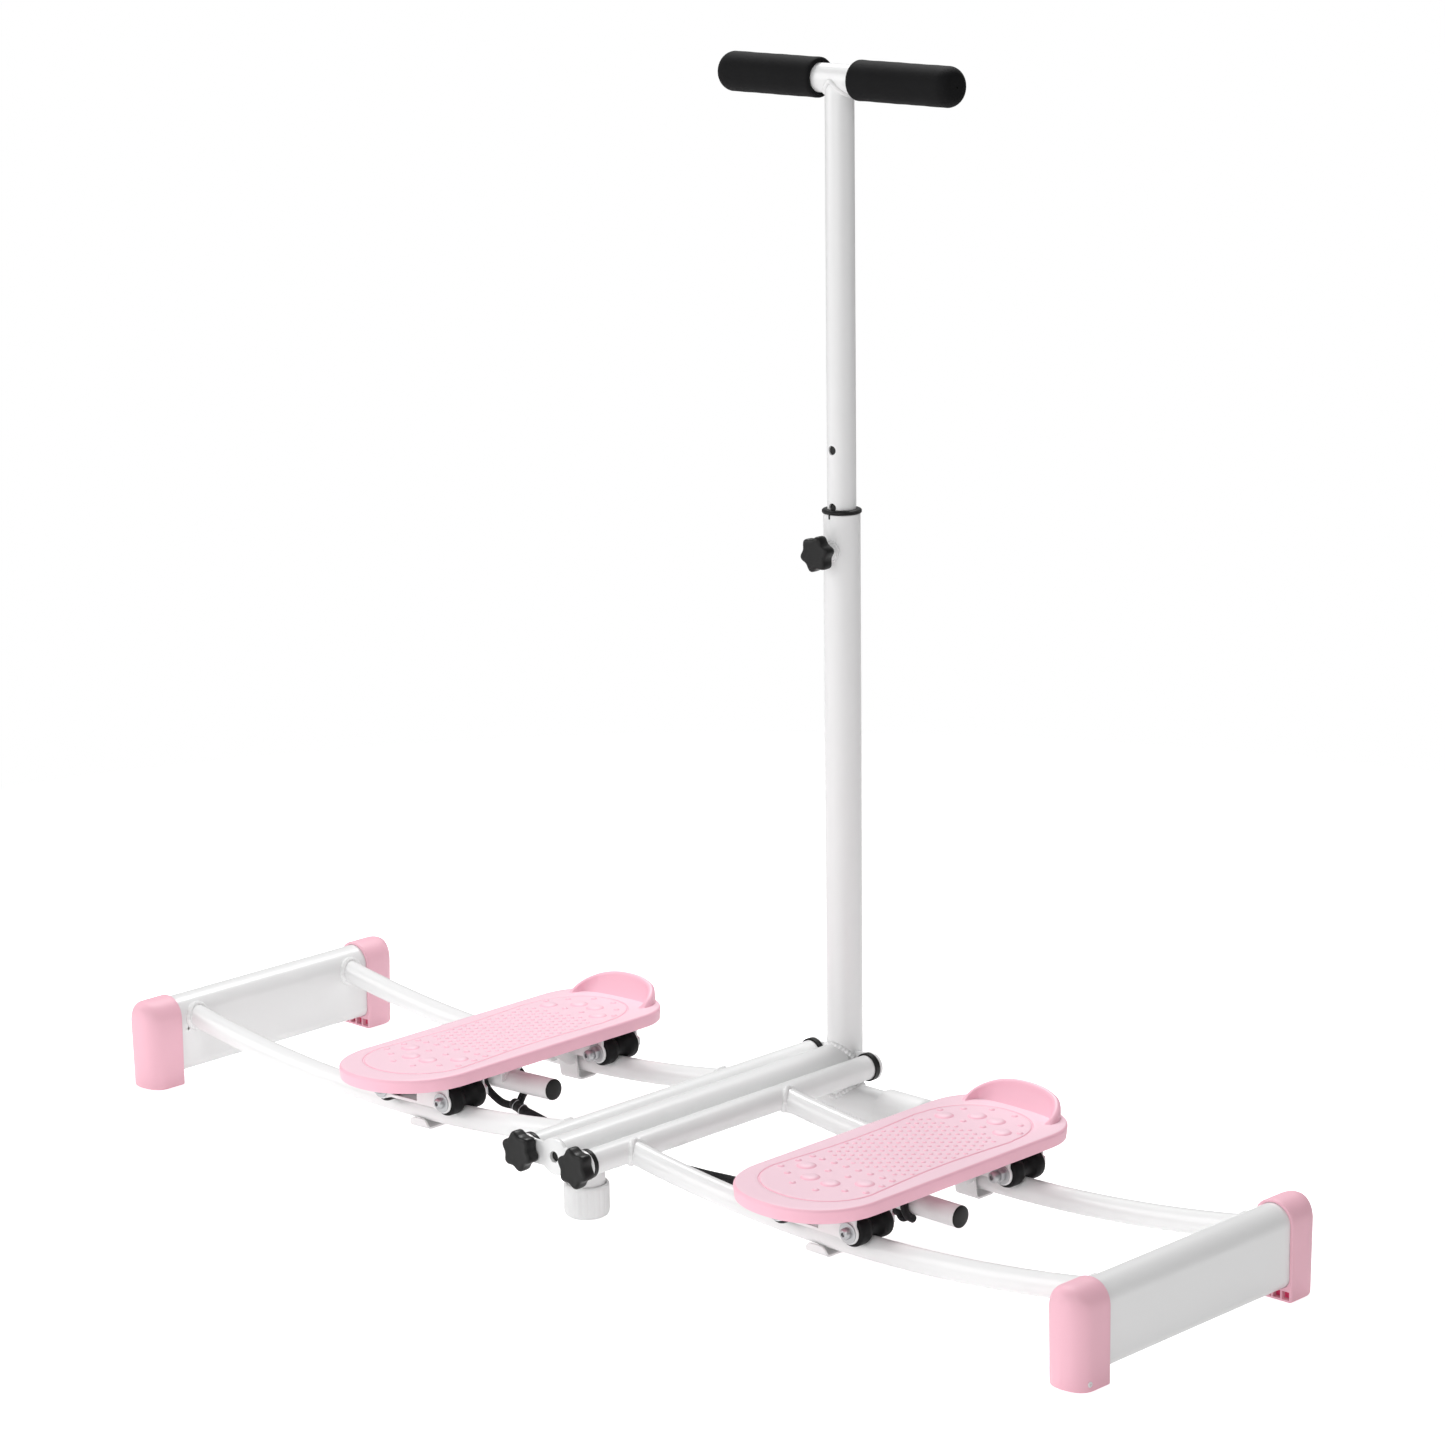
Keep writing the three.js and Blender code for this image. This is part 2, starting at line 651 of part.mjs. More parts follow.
// The hook hangs beside the rail and turns under it so the carriage cannot lift off.
function railHook(centreY) {
  const inward = centreY > 0 ? -1 : 1;
  const x0 = CHANNEL_X - CHANNEL_HALF;
  const x1 = CHANNEL_X + CHANNEL_HALF;
  const stemA = centreY + inward * (RAIL_R + HOOK_CLEAR);
  const stemB = stemA + inward * BRACKET_T;
  const tip = centreY - inward * HOOK_TIP;
  const stem = box(x0, x1, Math.min(stemA, stemB), Math.max(stemA, stemB), HOOK_LOW, BRACKET_TOP);
  const y0 = Math.min(tip, stemB);
  const y1 = Math.max(tip, stemB);
  const floorPart = box(x0, x1, y0, y1, HOOK_LOW, HOOK_LOW + BRACKET_T);
  return stem.add(floorPart);
}

function channelFlange(x0) {
  const reach = RAIL_Y - RAIL_R - HOOK_CLEAR;
  const half = [
    [reach, BRACKET_TOP],
    [reach, FLANGE_LOW],
    [reach - FLANGE_TOE, FLANGE_LOW],
    [FLANGE_SLOPE, FLANGE_HIGH],
    [FLANGE_CROSS, FLANGE_HIGH],
    [FLANGE_CROSS, CROSSBAR_Z],
  ];
  const mirrored = half.map(([y, z]) => [-y, z]).reverse();
  return pushedX([...mirrored, ...half], x0, x0 + BRACKET_T);
}

function chassis() {
  const x0 = CHANNEL_X - CHANNEL_HALF;
  const x1 = CHANNEL_X + CHANNEL_HALF;
  const reach = RAIL_Y - RAIL_R;
  const web = box(x0, x1, -reach, reach, BRACKET_TOP - BRACKET_WEB, BRACKET_TOP);
  const crossTube = bar("x", CROSSBAR_R, CROSSBAR_X0, CROSSBAR_X1, 0, CROSSBAR_Z);
  const crossBore = bar("x", CROSSBAR_BORE, CROSSBAR_X0 - 1, CROSSBAR_X1 + 1, 0, CROSSBAR_Z);
  return unionOf([
    web,
    channelFlange(x0),
    channelFlange(x1 - BRACKET_T),
    rollerBracket(-RAIL_Y),
    rollerBracket(RAIL_Y),
    railHook(-RAIL_Y),
    railHook(RAIL_Y),
    crossTube,
  ]).subtract(crossBore);
}

function crossbarPlug(atRight) {
  const depth = 9;
  const head = 2.4;
  const made = turned([
    [0, -depth],
    [CROSSBAR_BORE - GAP, -depth],
    [CROSSBAR_BORE - GAP, GAP],
    [CROSSBAR_R, GAP],
    [CROSSBAR_R - 0.8, head],
    [0, head + 0.4],
  ], "x", 16);
  const turnedRound = atRight ? made : made.mirror([1, 0, 0]);
  return turnedRound.translate([atRight ? CROSSBAR_X1 : CROSSBAR_X0, 0, CROSSBAR_Z]);
}

// Hourglass roller: its waist follows the round top of the rail.
function roller(x, centreY) {
  const bore = PIVOT_R + GAP;
  const hug = RAIL_R + ROLLER_CLEAR;
  const waist = [-9.4, -8, -5.6, -2.8, 2.8, 5.6, 8, 9.4].map((along) => {
    return [Math.min(ROLLER_R, AXLE_OVER_RAIL - Math.sqrt(hug * hug - along * along)), along];
  });
  const made = turned([
    [bore, -ROLLER_HALF],
    [ROLLER_R, -ROLLER_HALF],
    ...waist,
    [ROLLER_R, ROLLER_HALF],
    [bore, ROLLER_HALF],
  ], "y", SMALL_ROUND + 2);
  return made.translate([x, centreY, AXLE_Z]);
}

// Axle bolt with its head and washer towards -Y and its nut towards +Y.
function axleBolt(x, centreY) {
  const plate = ROLLER_HALF + GAP + BRACKET_T + GAP;
  const headR = 4.8;
  const headH = 5;
  const washerR = 8.7;
  const washerT = 1.4;
  const nutR = 6.2;
  const nutH = 5.5;
  const made = turned([
    [0, -plate - washerT - headH],
    [headR, -plate - washerT - headH],
    [headR, -plate - washerT],
    [washerR, -plate - washerT],
    [washerR, -plate],
    [PIVOT_R, -plate],
    [PIVOT_R, plate],
    [nutR, plate],
    [nutR, plate + nutH],
    [0, plate + nutH],
  ], "y", SMALL_ROUND);
  return made.translate([x, centreY, AXLE_Z]);
}

// The cord wraps the crossbar and its tail drops towards the middle of the machine.
function cordLoop(side) {
  const wrap = CROSSBAR_R + CORD_R + 0.5;
  const ring = new THREE.TorusGeometry(wrap, CORD_R, 6, 16);
  ring.rotateY(Math.PI / 2);
  ring.translate(CORD_X, 0, CROSSBAR_Z);
  const inward = -side;
  const low = CROSSBAR_Z - wrap;
  const drop = 5;
  const tail = swept([
    [CORD_X, 0, low],
    [CORD_X + inward * 8, -1.5, low - 0.6 * drop],
    [CORD_X + inward * 17, -4, low - drop],
  ], CORD_R, 6, 4);
  return solid(ring).add(tail);
}

// The cord hangs slack between the carriages, below the tails of both loops.
function cordRun() {
  return swept([
    [-180, -4, 18],
    [-100, -4, 15],
    [0, -4, 13.5],
    [100, -4, 15],
    [232, -4, 18.5],
  ], CORD_R, 6, 10);
}

// ---------------------------------------------------------------- assembly
function addFixedFrame() {
  place("center_beam", centreBeam(), whitePaint());
  place("front_plate", frontPlate(), whitePaint());
  place("foot_cap", footCap(), whiteRubber());
  place("post_lower", lowerPost(), whitePaint());
  place("post_collar", postCollar(), blackPlastic());
  place("stabilizer_tube", stabiliserTube(), whitePaint());
  place("stabilizer_cap_left", stabiliserCap(-1), whiteRubber());
  place("stabilizer_cap_right", stabiliserCap(1), whiteRubber());
}

function addHandle() {
  place("post_upper", mast(), whitePaint());
  place("handle_bar", handleBar(), whitePaint());
  place("grip_left", grip(-1), blackFoam());
  place("grip_right", grip(1), blackFoam());
  const bossFace = POST_Y - POST_R - 9 - GAP;
  const studEnd = POST_Y - MAST_R - 0.6 - bossFace;
  place("knob_height", starKnob(31, 12, studEnd).translate([0, bossFace, KNOB_Z]), blackPlastic());
}

function addSideFrame(side, word) {
  place(`hinge_tube_${word}`, hingeTube(side), whitePaint());
  place(`bushing_front_${word}`, bushing(side, true), blackPlastic());
  place(`bushing_rear_${word}`, bushing(side, false), blackPlastic());
  place(`rail_front_${word}`, rail(side, -RAIL_Y), whitePaint());
  place(`rail_rear_${word}`, rail(side, RAIL_Y), whitePaint());
  place(`end_beam_${word}`, endBeam(side), whitePaint());
  place(`end_cap_front_${word}`, endCap(side, -1), pinkPlastic());
  place(`end_cap_rear_${word}`, endCap(side, 1), pinkPlastic());
  const knob = starKnob(34, 12.5, 20).translate([side * HINGE_X, FRONT_Y - PLATE_T - GAP, BEAM_Z]);
  place(`knob_${word}`, knob, blackPlastic());
}

function addCarriage(restX, word) {
  const side = Math.sign(restX);
  place(`chassis_${word}`, onRail(chassis(), restX), whitePaint());
  place(`pedal_${word}`, onRail(pedal(), restX), pinkPlastic());
  place(`plug_outer_${word}`, onRail(crossbarPlug(side > 0), restX), blackPlastic());
  place(`plug_inner_${word}`, onRail(crossbarPlug(side < 0), restX), blackPlastic());
  const corners = [
    ["front_a", -AXLE_X, -RAIL_Y],
    ["front_b", AXLE_X, -RAIL_Y],
    ["rear_a", -AXLE_X, RAIL_Y],
    ["rear_b", AXLE_X, RAIL_Y],
  ];
  for (const [corner, x, y] of corners) {
    place(`roller_${corner}_${word}`, onRail(roller(x, y), restX), blackPlastic());
    place(`axle_${corner}_${word}`, onRail(axleBolt(x, y), restX), zincSteel());
  }
  place(`cord_loop_${word}`, onRail(cordLoop(side), restX), blackCord());
}

addFixedFrame();
addHandle();
addSideFrame(-1, "left");
addSideFrame(1, "right");
addCarriage(CARRIAGE_LEFT, "left");
addCarriage(CARRIAGE_RIGHT, "right");
place("cord_run", cordRun(), blackCord());

export default machine;
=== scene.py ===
"""Looks of the lateral glide leg trainer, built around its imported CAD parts."""

from math import asin, copysign, cos, exp, pi, radians, sin, sqrt

import bmesh
import bpy
import numpy as np
from mathutils import Matrix, Vector
from mathutils.geometry import delaunay_2d_cdt


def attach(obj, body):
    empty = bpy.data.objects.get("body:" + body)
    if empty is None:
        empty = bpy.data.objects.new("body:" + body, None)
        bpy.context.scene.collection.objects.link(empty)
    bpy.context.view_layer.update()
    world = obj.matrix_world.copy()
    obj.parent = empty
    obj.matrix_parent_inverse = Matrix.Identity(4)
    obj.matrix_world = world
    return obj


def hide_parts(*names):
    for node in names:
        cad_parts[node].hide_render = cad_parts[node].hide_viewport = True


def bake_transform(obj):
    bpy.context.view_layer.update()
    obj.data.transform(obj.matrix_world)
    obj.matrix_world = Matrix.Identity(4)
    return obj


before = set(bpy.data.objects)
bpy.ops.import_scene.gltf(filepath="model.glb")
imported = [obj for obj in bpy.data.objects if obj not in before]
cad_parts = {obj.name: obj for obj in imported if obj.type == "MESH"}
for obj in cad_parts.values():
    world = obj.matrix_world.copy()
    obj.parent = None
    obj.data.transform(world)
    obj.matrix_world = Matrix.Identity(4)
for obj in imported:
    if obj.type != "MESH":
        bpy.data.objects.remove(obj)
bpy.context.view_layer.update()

# ------------------------------------------------------------------ dimensions, millimetres
# Along Y they count from midway between the rails, a line that lies MIDDLE_Y in front of the origin.
MIDDLE_Y = 32.0
FRONT_Y = -146.0
PLATE_T = 3.0
BEAM_R = 16.0
BEAM_Z = 60.0
FOOT_Y = -112.0
FOOT_R = 19.5
POST_Y = 209.5
POST_R = 16.0
POST_TOP = 550.0
STAB_Z = 20.5
STAB_R = 17.5
STAB_CAP_R = 20.5
KNOB_Z = 518.5
MAST_R = 12.5
HANDLE_Z = 920.0
HANDLE_HALF = 125.5
GRIP_R = 17.3
GRIP_START = 21.0
GRIP_END = 130.5
HOLE_Z = (605.5, 555.6)
HINGE_X = 33.0
HINGE_R = 11.0
EAR_Y = 206.0
FLANGE_R = 12.6
FLANGE_T = 2.7
RAIL_Y = 93.5
RAIL_R = 10.0
ARC_X = 276.0
ARC_Z = 1514.2
ARC_R = 1474.4
END_X = 542.0
END_HALF = 16.5
END_BOTTOM = 10.3
END_TOP = 79.3
END_CORNER = 10.0
CAP_HALF = 19.0
CAP_TOP = 81.8
BEAM_END = 134.0
CAP_IN = 113.0
CAP_OUT = 151.0
REST_X = {"left": -208.5, "right": 260.5}
AXLE_X = 39.0
AXLE_Z = 18.5
ROLLER_R = 12.8
ROLLER_HALF = 21.5
ROLLER_REAR = 17.8
BRACKET_TOP = 33.4
CHANNEL_X = -10.0
CROSSBAR_Z = 4.2
CROSSBAR_R = 9.5
CROSSBAR_X = (-70.0, 54.0)
CORD_R = 3.25
CORD_X = 5.8
PEDAL_X = -8.6
PEDAL_HALF = 65.6
PEDAL_HEEL = -166.0
PEDAL_TOE = 163.2
HEEL_ROUND = 65.0
TOE_ROUND = 52.0
HEEL_POWER = 2.2
TOE_POWER = 2.4
PEDAL_BOTTOM = 33.7
PEDAL_TOP = 45.5
LIP_HEIGHT = 19.4
LIP_START = 134.0
LIP_SPAN = 60.5
LIP_ROOM = 23.0
FIELD_STEPS = ((-4.2, 9.3), (9.2, -4.3))
FIELD_HALF = 44.5
FIELD_MIDDLE = 12.5
FIELD_LENGTH = 126.0
WALL = 2.0
THIN_WALL = 1.6
BOSS_R = 8.4
BOSS_BORE = 4.3
PIN_R = 4.0
BOLT_R = 3.9
GAP = 0.3
TUBE_WALL = 1.8
SHEET = 2.0
CHANNEL_HALF = 12.0
WELD_LIFT = 0.4
FLOOR_LIFT = 0.72
FLOOR_BOUNCE = 0.31
WORLD_LIGHT = 0.27
SIDES = (("left", -1), ("right", 1))


# ------------------------------------------------------------------ materials
def add_node(material, kind, settings=(), **options):
    """New shader node with some of its inputs and options set."""
    node = material.node_tree.nodes.new("ShaderNode" + kind)
    for key, value in options.items():
        setattr(node, key, value)
    for key, value in dict(settings).items():
        node.inputs[key].default_value = value
    return node


def wire(material, *ends):
    """Join nodes pairwise: from node, its output, to node, its input."""
    for source, output, target, entry in zip(ends[0::4], ends[1::4], ends[2::4], ends[3::4]):
        material.node_tree.links.new(source.outputs[output], target.inputs[entry])


def grey(level):
    return (level, level, level, 1.0)


def blank_material(name, settings):
    """Material with its principled shader's inputs set; returns both."""
    material = bpy.data.materials.new(name)
    material.use_nodes = True
    shader = material.node_tree.nodes["Principled BSDF"]
    for key, value in settings.items():
        shader.inputs[key].default_value = value
    return material, shader


def make_material(name, colour, roughness, metallic=0.0, grain=0.0, grain_size=900.0, coat=0.0,
                  spread=0.05, sheen=0.0, specular=0.5):
    """A plain finish with a little procedural variation in roughness and a fine surface grain."""
    material, shader = blank_material(name, {
        "Base Color": (*colour, 1.0), "Metallic": metallic, "Coat Weight": coat,
        "Coat Roughness": 0.12, "Sheen Weight": sheen, "Specular IOR Level": specular,
    })
    place = add_node(material, "TexCoord")
    cloud = add_node(material, "TexNoise", {"Scale": 14.0, "Detail": 4.0})
    ramp = add_node(material, "MapRange", {"To Min": roughness - spread, "To Max": roughness + spread})
    wire(material, place, "Object", cloud, "Vector", cloud, "Fac", ramp, "Value",
         ramp, "Result", shader, "Roughness")
    if grain > 0:
        fine = add_node(material, "TexNoise", {"Scale": grain_size, "Detail": 3.0})
        bump = add_node(material, "Bump", {"Strength": grain, "Distance": 0.0004})
        wire(material, place, "Object", fine, "Vector", fine, "Fac", bump, "Height",
             bump, "Normal", shader, "Normal")
    return material


def paint_sheen_on_upper_face(material, colour, sheen_colour):
    """Painted sheen: faces that point up get a lighter pink than the sides of the same moulding, standing in
    for the light that the matt tread reflects.
    """
    surface = add_node(material, "NewGeometry")
    parts = add_node(material, "SeparateXYZ")
    level = add_node(material, "MapRange", {"From Min": 0.86, "From Max": 0.99})
    sheen_blend = add_node(material, "Mix", data_type="RGBA")
    sheen_blend.inputs["A"].default_value = (*colour, 1.0)
    sheen_blend.inputs["B"].default_value = (*sheen_colour, 1.0)
    wire(material, surface, "Normal", parts, 0, parts, "Z", level, "Value",
         level, "Result", sheen_blend, "Factor",
         sheen_blend, "Result", material.node_tree.nodes["Principled BSDF"], "Base Color")


def braid_material(name):
    """Black braided sleeve: two crossed sets of fine diagonal ridges."""
    material = make_material(name, (0.008, 0.008, 0.009), 0.7, sheen=0.05, specular=0.25)
    place = add_node(material, "TexCoord")
    mixed = add_node(material, "Math", operation="MULTIPLY")
    for entry, direction in enumerate((1.0, -1.0)):
        turn = add_node(material, "Mapping", {"Rotation": (0.0, 0.6 * direction, 0.8 * direction)})
        wave = add_node(material, "TexWave", {"Scale": 330.0})
        wire(material, place, "Object", turn, "Vector", turn, "Vector", wave, "Vector",
             wave, "Fac", mixed, entry)
    bump = add_node(material, "Bump", {"Strength": 0.7, "Distance": 0.0005})
    wire(material, mixed, 0, bump, "Height",
         bump, "Normal", material.node_tree.nodes["Principled BSDF"], "Normal")
    return material


PINK_SIDE = (0.93, 0.52, 0.625)
# The second pink is painted sheen, a lighter pink laid on the faces that point up.
PINK_TREAD_SHEEN = (0.90, 0.63, 0.715)
WHITE = make_material("white_gloss_paint", (0.83, 0.83, 0.83), 0.3, grain=0.03, grain_size=260.0, coat=0.25)
PINK = make_material("pink_plastic", PINK_SIDE, 0.45, grain=0.04, grain_size=1600.0, specular=0.4)
paint_sheen_on_upper_face(PINK, PINK_SIDE, PINK_TREAD_SHEEN)
CAP_PINK = make_material("cap_plastic", (0.88, 0.50, 0.59), 0.5, grain=0.04, grain_size=1600.0, specular=0.4)
# Deep pink painted shade for the hollow cells inside the end caps, standing in for shade and light seen
# through the plastic.
PINK_PAINTED_SHADE = make_material("pink_plastic_painted_shade", (0.75, 0.05, 0.16), 0.6)
BLACK = make_material("black_plastic", (0.008, 0.008, 0.008), 0.4, grain=0.06, grain_size=1500.0,
                      specular=0.28)
ROLLER = make_material("black_roller", (0.006, 0.006, 0.0065), 0.5, grain=0.05, grain_size=1200.0,
                       specular=0.16)
FOAM = make_material("black_foam", (0.0045, 0.0045, 0.005), 0.75, grain=0.3, grain_size=1500.0,
                     specular=0.16)
RUBBER = make_material("white_rubber", (0.80, 0.80, 0.80), 0.5, grain=0.05, grain_size=800.0)
ZINC = make_material("bright_zinc", (0.50, 0.51, 0.52), 0.28, metallic=0.75, grain=0.04, grain_size=700.0)
DARK = make_material("hollow_shadow", (0.02, 0.02, 0.02), 0.9)
CORD = braid_material("black_braid")


# ------------------------------------------------------------------ mesh helpers
# A shape is (points, faces): an (n, 3) array in millimetres and a list of vertex index tuples.
def join(*shapes):
    """Several shapes as one."""
    points = []
    faces = []
    start = 0
    for shape_points, shape_faces in shapes:
        points.append(np.asarray(shape_points, float))
        faces.extend(tuple(i + start for i in face) for face in shape_faces)
        start += len(shape_points)
    return np.vstack(points), faces


def moved(shape, x=0.0, y=0.0, z=0.0):
    return np.asarray(shape[0], float) + np.array([x, y, z]), shape[1]


def flipped(shape, axis):
    """Mirror across the plane through the origin square to the axis, keeping faces outward."""
    points = np.array(shape[0], float)
    points[:, axis] *= -1
    return points, [tuple(reversed(face)) for face in shape[1]]


def handed(shape, side):
    """A shape drawn for the right side, mirrored where it belongs on the left."""
    return flipped(shape, 0) if side < 0 else shape


def full_turn(count):
    """Angles spaced evenly round a circle."""
    return np.linspace(0, 2 * pi, count, endpoint=False)


def arc(centre, radius, start, sweep_angle, steps):
    """Points of an arc in a plane, anticlockwise for a positive sweep."""
    angles = [start + t * sweep_angle for t in np.linspace(0, 1, steps)]
    return [(centre[0] + radius * cos(a), centre[1] + radius * sin(a)) for a in angles]


def along(shape, axis):
    """Turn a shape built along Z so that it runs along another axis."""
    points = np.asarray(shape[0], float)
    if axis == "x":
        return points[:, [2, 0, 1]], shape[1]
    if axis == "y":
        return points[:, [1, 2, 0]], shape[1]
    return points, shape[1]


def laid(shape, axis, p, q):
    """Turn a shape along an axis and move it; p and q count along the other two, in X, Y, Z order."""
    offset = {"x": (0.0, p, q), "y": (p, 0.0, q), "z": (p, q, 0.0)}[axis]
    return moved(along(shape, axis), *offset)


def loft(rings, closed=False, cap_end=True):
    """Skin over rings of equal length; each ring runs anticlockwise seen from the end side."""
    count = len(rings[0])
    points = np.vstack(rings)
    faces = []
    last = len(rings) if closed else len(rings) - 1
    for i in range(last):
        a = i * count
        b = ((i + 1) % len(rings)) * count
        for j in range(count):
            k = (j + 1) % count
            faces.append((a + j, a + k, b + k, b + j))
    if not closed:
        faces.append(tuple(reversed(range(count))))
    if not closed and cap_end:
        faces.append(tuple((len(rings) - 1) * count + j for j in range(count)))
    return points, faces


def lathe(profile, segments=48, closed=False, ripple=None):
    """Turn a profile of (radius, z) about Z. Open profiles are capped flat at both ends."""
    angles = full_turn(segments)
    rings = []
    for index, (radius, z) in enumerate(profile):
        radii = np.full(segments, float(radius))
        if ripple is not None:
            radii = radii + ripple(angles, index)
        rings.append(np.c_[radii * np.cos(angles), radii * np.sin(angles), np.full(segments, float(z))])
    return loft(rings, closed=closed)


def turned(profile, segments, axis, x=0.0, y=0.0, z=0.0):
    """Ring with a closed section of (radius, place along the axis)."""
    return moved(along(lathe(profile, segments, closed=True), axis), x, y, z)


def rod(axis, radius, a, b, p=0.0, q=0.0, segments=48, fillet=0.6):
    """Bar along an axis from a to b, with softened rims."""
    quarter = [i / 3 * pi / 2 for i in range(4)]
    inner = radius - fillet
    profile = [(inner + fillet * sin(t), a + fillet - fillet * cos(t)) for t in quarter]
    profile += [(inner + fillet * cos(t), b - fillet + fillet * sin(t)) for t in quarter]
    return laid(lathe(profile, segments), axis, p, q)


def pipe(axis, radius, bore, a, b, p=0.0, q=0.0, segments=48):
    """Open tube with slightly softened rims."""
    edge = 0.4
    profile = [
        (bore, a + edge), (bore + edge, a), (radius - edge, a), (radius, a + edge),
        (radius, b - edge), (radius - edge, b), (bore + edge, b), (bore, b - edge),
    ]
    return laid(lathe(profile, segments, closed=True), axis, p, q)


def sweep(path, radius, segments, closed=False, bumps=None):
    """Round bar along a path of 3-D points; bumps(i) changes the radius along it."""
    path = np.asarray(path, float)
    tangents = unit_rows(np.roll(path, -1, 0) - np.roll(path, 1, 0) if closed else np.gradient(path, axis=0))
    guide = np.array([0.0, 0.0, 1.0]) if abs(tangents[0][2]) < 0.8 else np.array([1.0, 0.0, 0.0])
    angles = full_turn(segments)
    side = np.cross(guide, tangents[0])
    side /= np.linalg.norm(side)
    rings = []
    for i, (point, tangent) in enumerate(zip(path, tangents)):
        side = side - tangent * np.dot(side, tangent)
        side /= np.linalg.norm(side)
        up = np.cross(tangent, side)
        size = radius if bumps is None else radius + bumps(i)
        rings.append(point + size * (np.outer(np.cos(angles), side) + np.outer(np.sin(angles), up)))
    return loft(rings, closed=closed)


def resampled(path, step, closed=False):
    """The same path with points spaced evenly."""
    path = np.asarray(path, float)
    if closed:
        path = np.vstack([path, path[:1]])
    lengths = np.r_[0, np.cumsum(np.linalg.norm(np.diff(path, axis=0), axis=1))]
    count = max(8, int(lengths[-1] / step))
    wanted = np.linspace(0, lengths[-1], count, endpoint=not closed)
    return np.c_[[np.interp(wanted, lengths, path[:, k]) for k in range(3)]].T


def smooth_path(points, count):
    """Catmull-Rom curve through a few points."""
    points = np.asarray(points, float)
    padded = np.vstack([2 * points[0] - points[1], points, 2 * points[-1] - points[-2]])
    spans = len(points) - 1
    result = []
    for t in np.linspace(0, spans, count):
        i = min(int(t), spans - 1)
        u = t - i
        a, b, c, d = padded[i:i + 4]
        result.append(0.5 * (2 * b + (c - a) * u + (2 * a - 5 * b + 4 * c - d) * u * u
                             + (3 * b - a - 3 * c + d) * u ** 3))
    return np.array(result)


def box_shape(x0, x1, y0, y1, z0, z1, bevel=0.5):
    """Rectangular block with softened edges."""
    mesh = bmesh.new()
    bmesh.ops.create_cube(mesh, size=1.0)
    for vertex in mesh.verts:
        vertex.co.x = x0 if vertex.co.x < 0 else x1
        vertex.co.y = y0 if vertex.co.y < 0 else y1
        vertex.co.z = z0 if vertex.co.z < 0 else z1
    if bevel > 0:
        bmesh.ops.bevel(mesh, geom=mesh.edges[:], offset=bevel, segments=2, profile=0.5, affect="EDGES")
    mesh.verts.index_update()
    points = np.array([vertex.co[:] for vertex in mesh.verts])
    faces = [tuple(vertex.index for vertex in face.verts) for face in mesh.faces]
    mesh.free()
    return points, faces


def unit_rows(vectors):
    return vectors / np.linalg.norm(vectors, axis=1)[:, None]


def inward_normals(outline):
    """Unit normals that point into a closed anticlockwise outline."""
    after = np.roll(outline, -1, 0) - outline
    before = outline - np.roll(outline, 1, 0)
    tangent = unit_rows(unit_rows(after) + unit_rows(before))
    return np.c_[-tangent[:, 1], tangent[:, 0]]


def at_height(flat, height):
    return np.c_[flat, np.full(len(flat), height)]


def across_y(section, y):
    """Ring of a section drawn in X and Z, placed at y."""
    return np.c_[section[:, 0], np.full(len(section), y), section[:, 1]]


def plate_shape(outline, t0, t1, bevel):
    """Flat plate with an outline drawn in a plane, its thickness along Z, edges softened."""
    outline = np.asarray(outline, float)
    inward = inward_normals(outline)
    quarter = [i / 2 * pi / 2 for i in range(3)]
    levels = [(1 - sin(t), t0 + bevel * (1 - cos(t))) for t in quarter]
    levels += [(1 - cos(t), t1 - bevel * (1 - sin(t))) for t in quarter]
    return loft([at_height(outline + inward * bevel * inset, height) for inset, height in levels])


def linked(name, data):
    """New object in the scene's collection."""
    made = bpy.data.objects.new(name, data)
    bpy.context.scene.collection.objects.link(made)
    return made


def mesh_from(name, points, faces, weld=False):
    """Mesh with its faces turned outward; weld joins points that lie on each other."""
    mesh = bpy.data.meshes.new(name)
    mesh.from_pydata([tuple(p) for p in points], [], [tuple(int(i) for i in f) for f in faces])
    mesh.validate()
    work = bmesh.new()
    work.from_mesh(mesh)
    if weld:
        bmesh.ops.remove_doubles(work, verts=work.verts[:], dist=2e-5)
    bmesh.ops.recalc_face_normals(work, faces=work.faces[:])
    work.to_mesh(mesh)
    work.free()
    return mesh


def combined(base, others, operation="DIFFERENCE"):
    """Closed shape with others cut out of it, or joined to it with UNION."""
    target = linked("working", mesh_from("working", *base))
    helpers = [linked("working", mesh_from("working", *other)) for other in others]
    for helper in helpers:
        modifier = target.modifiers.new("step", "BOOLEAN")
        modifier.operation = operation
        modifier.solver = "EXACT"
        modifier.object = helper
    bpy.context.view_layer.update()
    graph = bpy.context.evaluated_depsgraph_get()
    result = target.evaluated_get(graph).to_mesh()
    points = np.array([v.co[:] for v in result.vertices])
    faces = [tuple(p.vertices) for p in result.polygons]
    target.evaluated_get(graph).to_mesh_clear()
    for spare in [target, *helpers]:
        mesh = spare.data
        bpy.data.objects.remove(spare)
        bpy.data.meshes.remove(mesh)
    return points, faces


def in_scene(points):
    """Drawing coordinates in millimetres to scene coordinates in metres."""
    return (np.array(points, float) - (0.0, MIDDLE_Y, 0.0)) / 1000.0


def piece(name, shape, material, body="frame", stands_for=(), angle=32.0, weld=False):
    """Turn a shape into an object that rides on a CAD body, unless its body is None."""
    mesh = mesh_from(name, in_scene(shape[0]).tolist(), shape[1], weld)
    mesh.materials.append(material)
    mesh.polygons.foreach_set("use_smooth", [True] * len(mesh.polygons))
    mesh.set_sharp_from_angle(angle=radians(angle))
    made = linked(name, mesh)
    if body is not None:
        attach(made, body)
    if stands_for:
        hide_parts(*stands_for)
    return made


def stand_in(node, shape, material, body="frame", angle=32.0, weld=False):
    """Piece that takes the place of the CAD node it is named after."""
    return piece(node + "_look", shape, material, body, [node], angle, weld)


